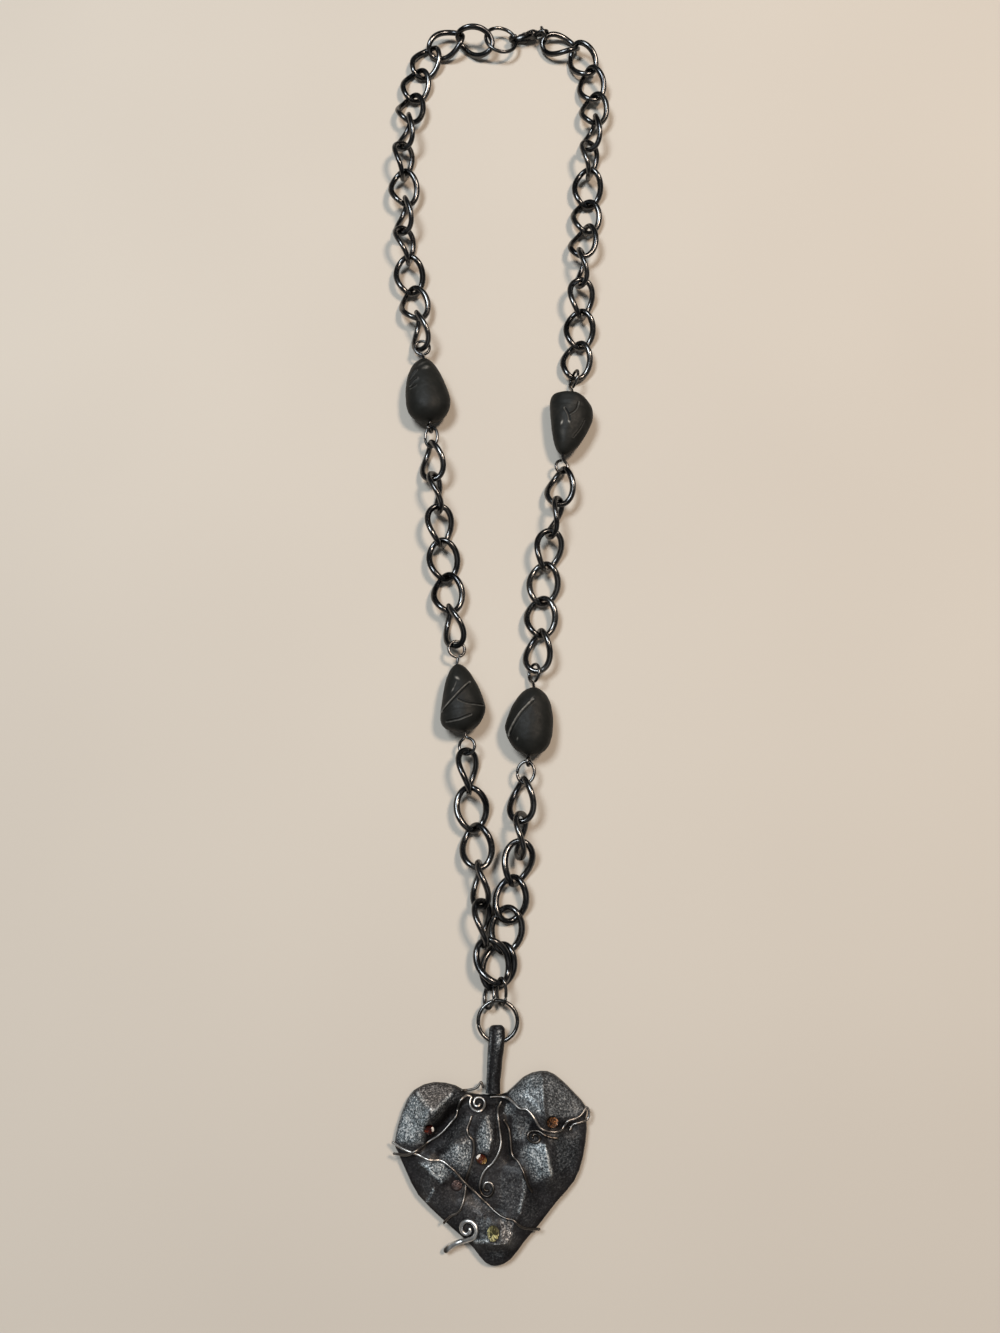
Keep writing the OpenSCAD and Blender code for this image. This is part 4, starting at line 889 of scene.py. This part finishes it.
# How much powder a spot holds, partly painted light: the patches and crests, and a trace on what stands
# above its surroundings
p = verts[:, :2]
here = heart_height(p)
around = np.mean([heart_height(p + 2.2 * np.array([math.cos(a), math.sin(a)]))
                  for a in circle(8)], 0)
q = seen(p, here)
powder_and_light = np.clip((here - around) * 0.12 + 0.05, 0.02, 0.15)
warm = np.full(len(p), 0.25)
marks = [(amount, warmth, patch(q, corners)) for amount, warmth, corners in PATCHES]
for line, half, amount, warmth in CRESTS:
    near = np.max([np.exp(-(off_line(q, (*a, *b)) / half) ** 2) for a, b in zip(line, line[1:])], 0)
    marks.append((amount, warmth, near))
for amount, warmth, near in marks:
    warm += (warmth - warm) * near
    powder_and_light = np.maximum(powder_and_light, amount * near)
# Painted shade: less powder near the rim, so the rounded edge looks darker
at_rim = np.clip((rim_share(p) - 0.94) / 0.05, 0, 1)
powder_and_light = np.where(verts[:, 2] < 1.2, 0.03, powder_and_light * (1 - 0.7 * at_rim))
# Painted shade: darker where the face lies lower than around it, and in the listed hollows
deep = np.clip((around - here - 0.05) * 1.1, 0, 0.85)
for amount, corners in HOLLOWS:
    deep = np.maximum(deep, amount * patch(q, corners))
add("heart", verts, faces, CLAY, "sculpted_clay", values={"high": powder_and_light, "warm": warm, "deep": deep})

# Stem: powder along its middle and its left edge, brighter on the left edge as painted light, one painted
# highlight at its upper right, and painted shade over all
stem = curve(STEM_ROWS, 8)
verts, faces = tube(stem[:, :3], stem[:, 3] - 0.05, 48, capped=False)
verts = wobble(verts, 0.1, 0.5, 2.0)
off_middle = verts[:, 0] - np.interp(-verts[:, 1], -stem[:, 1], stem[:, 0])
side = 0.03 + 0.16 * np.exp(-((off_middle - 0.1) / 0.5) ** 2)
# Brighter along the left edge: painted light from the left
side += 0.8 * np.exp(-((off_middle + 1.45) / 0.25) ** 2)
# Painted highlight at the upper right of the stem
side += 1.8 * np.exp(-((off_middle - 0.55) / 0.4) ** 2 - ((verts[:, 1] + 88.2) / 1.6) ** 2)
side *= 0.6 + 0.6 * np.array([noise.noise(Vector(v) * 0.6) for v in verts])
side = np.clip(side, 0.03, 1.2)
# Painted shade: "deep" darkens the whole stem
values = {"high": side, "warm": 0.2 + 0 * side, "deep": 0.6 + 0 * side}
add("bail_stem", verts, faces, CLAY, "sculpted_clay", values=values)


# Wires and spirals on the heart
def spiral_line(row):
    x, y, rx, ry, start, turns, ease = row
    count = math.ceil(22 * turns)
    k = np.arange(count + 1) / count
    t = np.radians(start + 360 * turns * k)
    narrow = 1 - 0.75 * k ** ease
    return np.stack([x + rx * narrow * np.cos(t), y + ry * narrow * np.sin(t)], 1)


def on_heart(points, radius):
    """Height of a wire's middle line over the heart, with its lift added."""
    ways = [(0, 0), (1, 0), (-1, 0), (0, 1), (0, -1)]
    high = np.max([heart_height(points[:, :2] + radius[:, None] * np.array(w), True) for w in ways], 0)
    z = high - WIRE_SINK + radius * 1.02 + points[:, 2]
    pad = np.pad(z, 2, mode="edge")
    smooth = np.convolve(pad, np.ones(5) / 5, mode="valid")
    return np.column_stack([points[:, :2], np.maximum(z, smooth)])


WIRE_LOOKS = {"wire_spiral": SILVER_WIRE, "wire_middle_left": BROWN_WIRE, "wire_middle_right": BROWN_WIRE,
              "wire_right_curl": BROWN_WIRE}
for name, (points, spiral) in WIRES.items():
    line = curve([(*q, 0)[:3] for q in points], 8)
    if spiral:
        curl = spiral_line(spiral)
        # A short curve leads from the wire into its spiral
        bridge = curve([line[-2], line[-1], (*curl[0], 0), (*curl[1], 0)], 4)[5:8]
        line = np.vstack([line, bridge, np.column_stack([curl, 0 * curl[:, 0]])])
    line = wobble(line, 0.035, 0.9, 5.0) * (1, 1, 0) + line * (0, 0, 1)
    radius = np.full(len(line), THIN_RADIUS)
    if name == "wire_spiral":
        radius = np.interp(np.arange(len(line)), [0, 6, 18, 30, len(line)], [0.6, 0.62, 0.53, 0.46, 0.4])
    verts, faces = tube(on_heart(line, radius), radius, 12)
    # How much darker and browner a wire is at each of its points
    x, y = verts[:, 0], verts[:, 1]
    darker_brown = {"wire_middle": np.clip((-118 - y) / 1.5, 0, 0.85) + np.clip((y + 109) / 3, 0.15, 0.7),
            "wire_diagonal": np.clip((x + 13) / 2, 0, 0.8), "wire_left": np.clip((-7.6 - x) / 2, 0, 0.62),
            "wire_right": np.maximum(np.clip((x - 9) / 2, 0, 0.5), np.clip(1 - x, 0, 0.7)),
            "wire_spiral": np.clip((-11.2 - x) / 0.5, 0, 0.9), "wire_stem": 0.85 + 0 * x,
            "wire_right_curl": 0.7 + 0 * x, "wire_middle_right": np.clip((-113 - y) / 3, 0.2, 0.8)}
    add(name, verts, faces, WIRE_LOOKS.get(name, BRIGHT_WIRE), "wire_metal",
        values={"darker_brown": darker_brown.get(name, 0 * x)})

# Cut stones: rings of corners from the pavilion over the girdle to the table, and the table's middle
rng = np.random.default_rng(12)
for name, (x, y, rx, ry, turn, lift, kind, glow, glint, spread) in STONES.items():
    z = float(heart_height(np.array([x, y]))) + lift
    levels = [(0.2, -STONE_PAVILION), (0.97, -0.12), (1.0, 0.0), (0.98, 0.1), (0.8, 0.42), (0.55, 0.74)]
    n = 16
    verts, faces = [], []
    for k, (s, h) in enumerate(levels):
        for m in range(n):
            a, w = 2 * math.pi * (m + 0.5 * (k % 2)) / n, math.radians(turn)
            c, d = rx * s * math.cos(a), ry * s * math.sin(a)
            verts.append((x + c * math.cos(w) - d * math.sin(w), y + c * math.sin(w) + d * math.cos(w),
                          z + h))
    for k in range(len(levels) - 1):
        for m in range(n):
            a, b, c, d = k * n + m, k * n + (m + 1) % n, (k + 1) * n + m, (k + 1) * n + (m + 1) % n
            faces += [(a, b, c), (b, d, c)] if k % 2 == 0 else [(a, b, d), (a, d, c)]
    faces.append(tuple(range(n - 1, -1, -1)))
    rim = range((len(levels) - 1) * n, len(levels) * n)
    faces += [(len(verts), a, b) for a, b in zip(rim, [*rim[1:], rim[0]])]
    verts.append((x, y, z + levels[-1][1] + 0.05))
    # Every facet keeps its own corners, so that each has one painted brightness: lit towards one side,
    # darker towards the middle, and a painted white highlight towards another side
    split, tone, shine, looks = [], [], [], []
    for face in faces:
        looks.append(tuple(range(len(split), len(split) + len(face))))
        corners = [verts[i] for i in face]
        split += corners
        centre = np.mean(corners, 0) - (x, y, z)
        bearing = math.degrees(math.atan2(centre[1], centre[0]))
        off_glow = abs((bearing - glow + 180) % 360 - 180) / 180
        lit = max(0, 1 - off_glow / spread) * rng.uniform() ** 2.2 * 1.6 + 0.25 * rng.uniform() ** 4
        lit *= 0.35 + 0.65 * min(1, math.hypot(centre[0], centre[1]) / rx / 0.75)
        tone += [min(1, lit)] * len(face)
        near = glint is not None and abs((bearing - glint + 180) % 360 - 180) < 26 and 0.05 < centre[2] < 0.6
        shine += [float(near)] * len(face)
    add(name, split, looks, GLASS[kind], kind, smooth=False,
        values={"facet": tone, "glint": shine})

# Floor of 6 by 6 metres, light and camera
floor = bpy.data.meshes.new("floor")
floor.from_pydata([(-3, -3, 0), (3, -3, 0), (3, 3, 0), (-3, 3, 0)], [], [(0, 1, 2, 3)])
floor_piece = linked("floor", floor)


def floor_look(s):
    tone = noise_at(place(s), 6, 2)
    pale = ramp(tone, [(0.2, (0.5, 0.455, 0.4)), (0.8, (0.545, 0.5, 0.44))])
    dress(s, {"Base Color": pale, "Roughness": 0.9})


floor.materials.append(material("floor_pale", floor_look))

world = bpy.data.worlds.new("room")
bpy.context.scene.world = world
world.use_nodes = True
backdrop = world.node_tree.nodes["Background"].inputs
backdrop["Color"].default_value = (0.92, 0.96, 1.0, 1)
backdrop["Strength"].default_value = 0.075


def area_light(name, spot, size, power, colour):
    data = bpy.data.lights.new(name, "AREA")
    data.shape = "RECTANGLE"
    data.size, data.size_y = size
    data.energy, data.color = power, colour
    lamp = linked(name, data)
    lamp.location = spot
    lamp.rotation_euler = (-Vector(spot)).to_track_quat("-Z", "Y").to_euler()


area_light("key_cool", (-0.30, 0.22, 0.86), (0.32, 0.26), 7.0, (0.86, 0.94, 1.0))
area_light("lamp_warm", (0.36, 0.2, 0.84), (0.16, 0.16), 5.9, (1.0, 0.82, 0.66))
area_light("fill_front", (0.0, -0.7, 0.9), (0.8, 0.5), 0.5, (1.0, 0.97, 0.93))

# Camera: focal length, photo height and vanishing point in pixels, and its distance in millimetres
FOCAL, PHOTO_HEIGHT, VANISHING, DISTANCE = 1080, 1333, 4473, 270
tilt = math.atan2(FOCAL, VANISHING)
camera_data = bpy.data.cameras.new("camera")
camera_data.sensor_fit = "AUTO"
camera_data.sensor_width = 36.0
camera_data.lens = FOCAL / PHOTO_HEIGHT * camera_data.sensor_width
camera_data.clip_start = 0.01
camera = linked("camera", camera_data)
eye = np.array([0, -DISTANCE * math.sin(tilt), DISTANCE * math.cos(tilt)]) - MIDDLE
camera.location = eye / 1000
camera.rotation_euler = (tilt, 0, 0)
bpy.context.scene.camera = camera
bpy.context.scene.view_settings.view_transform = "Standard"
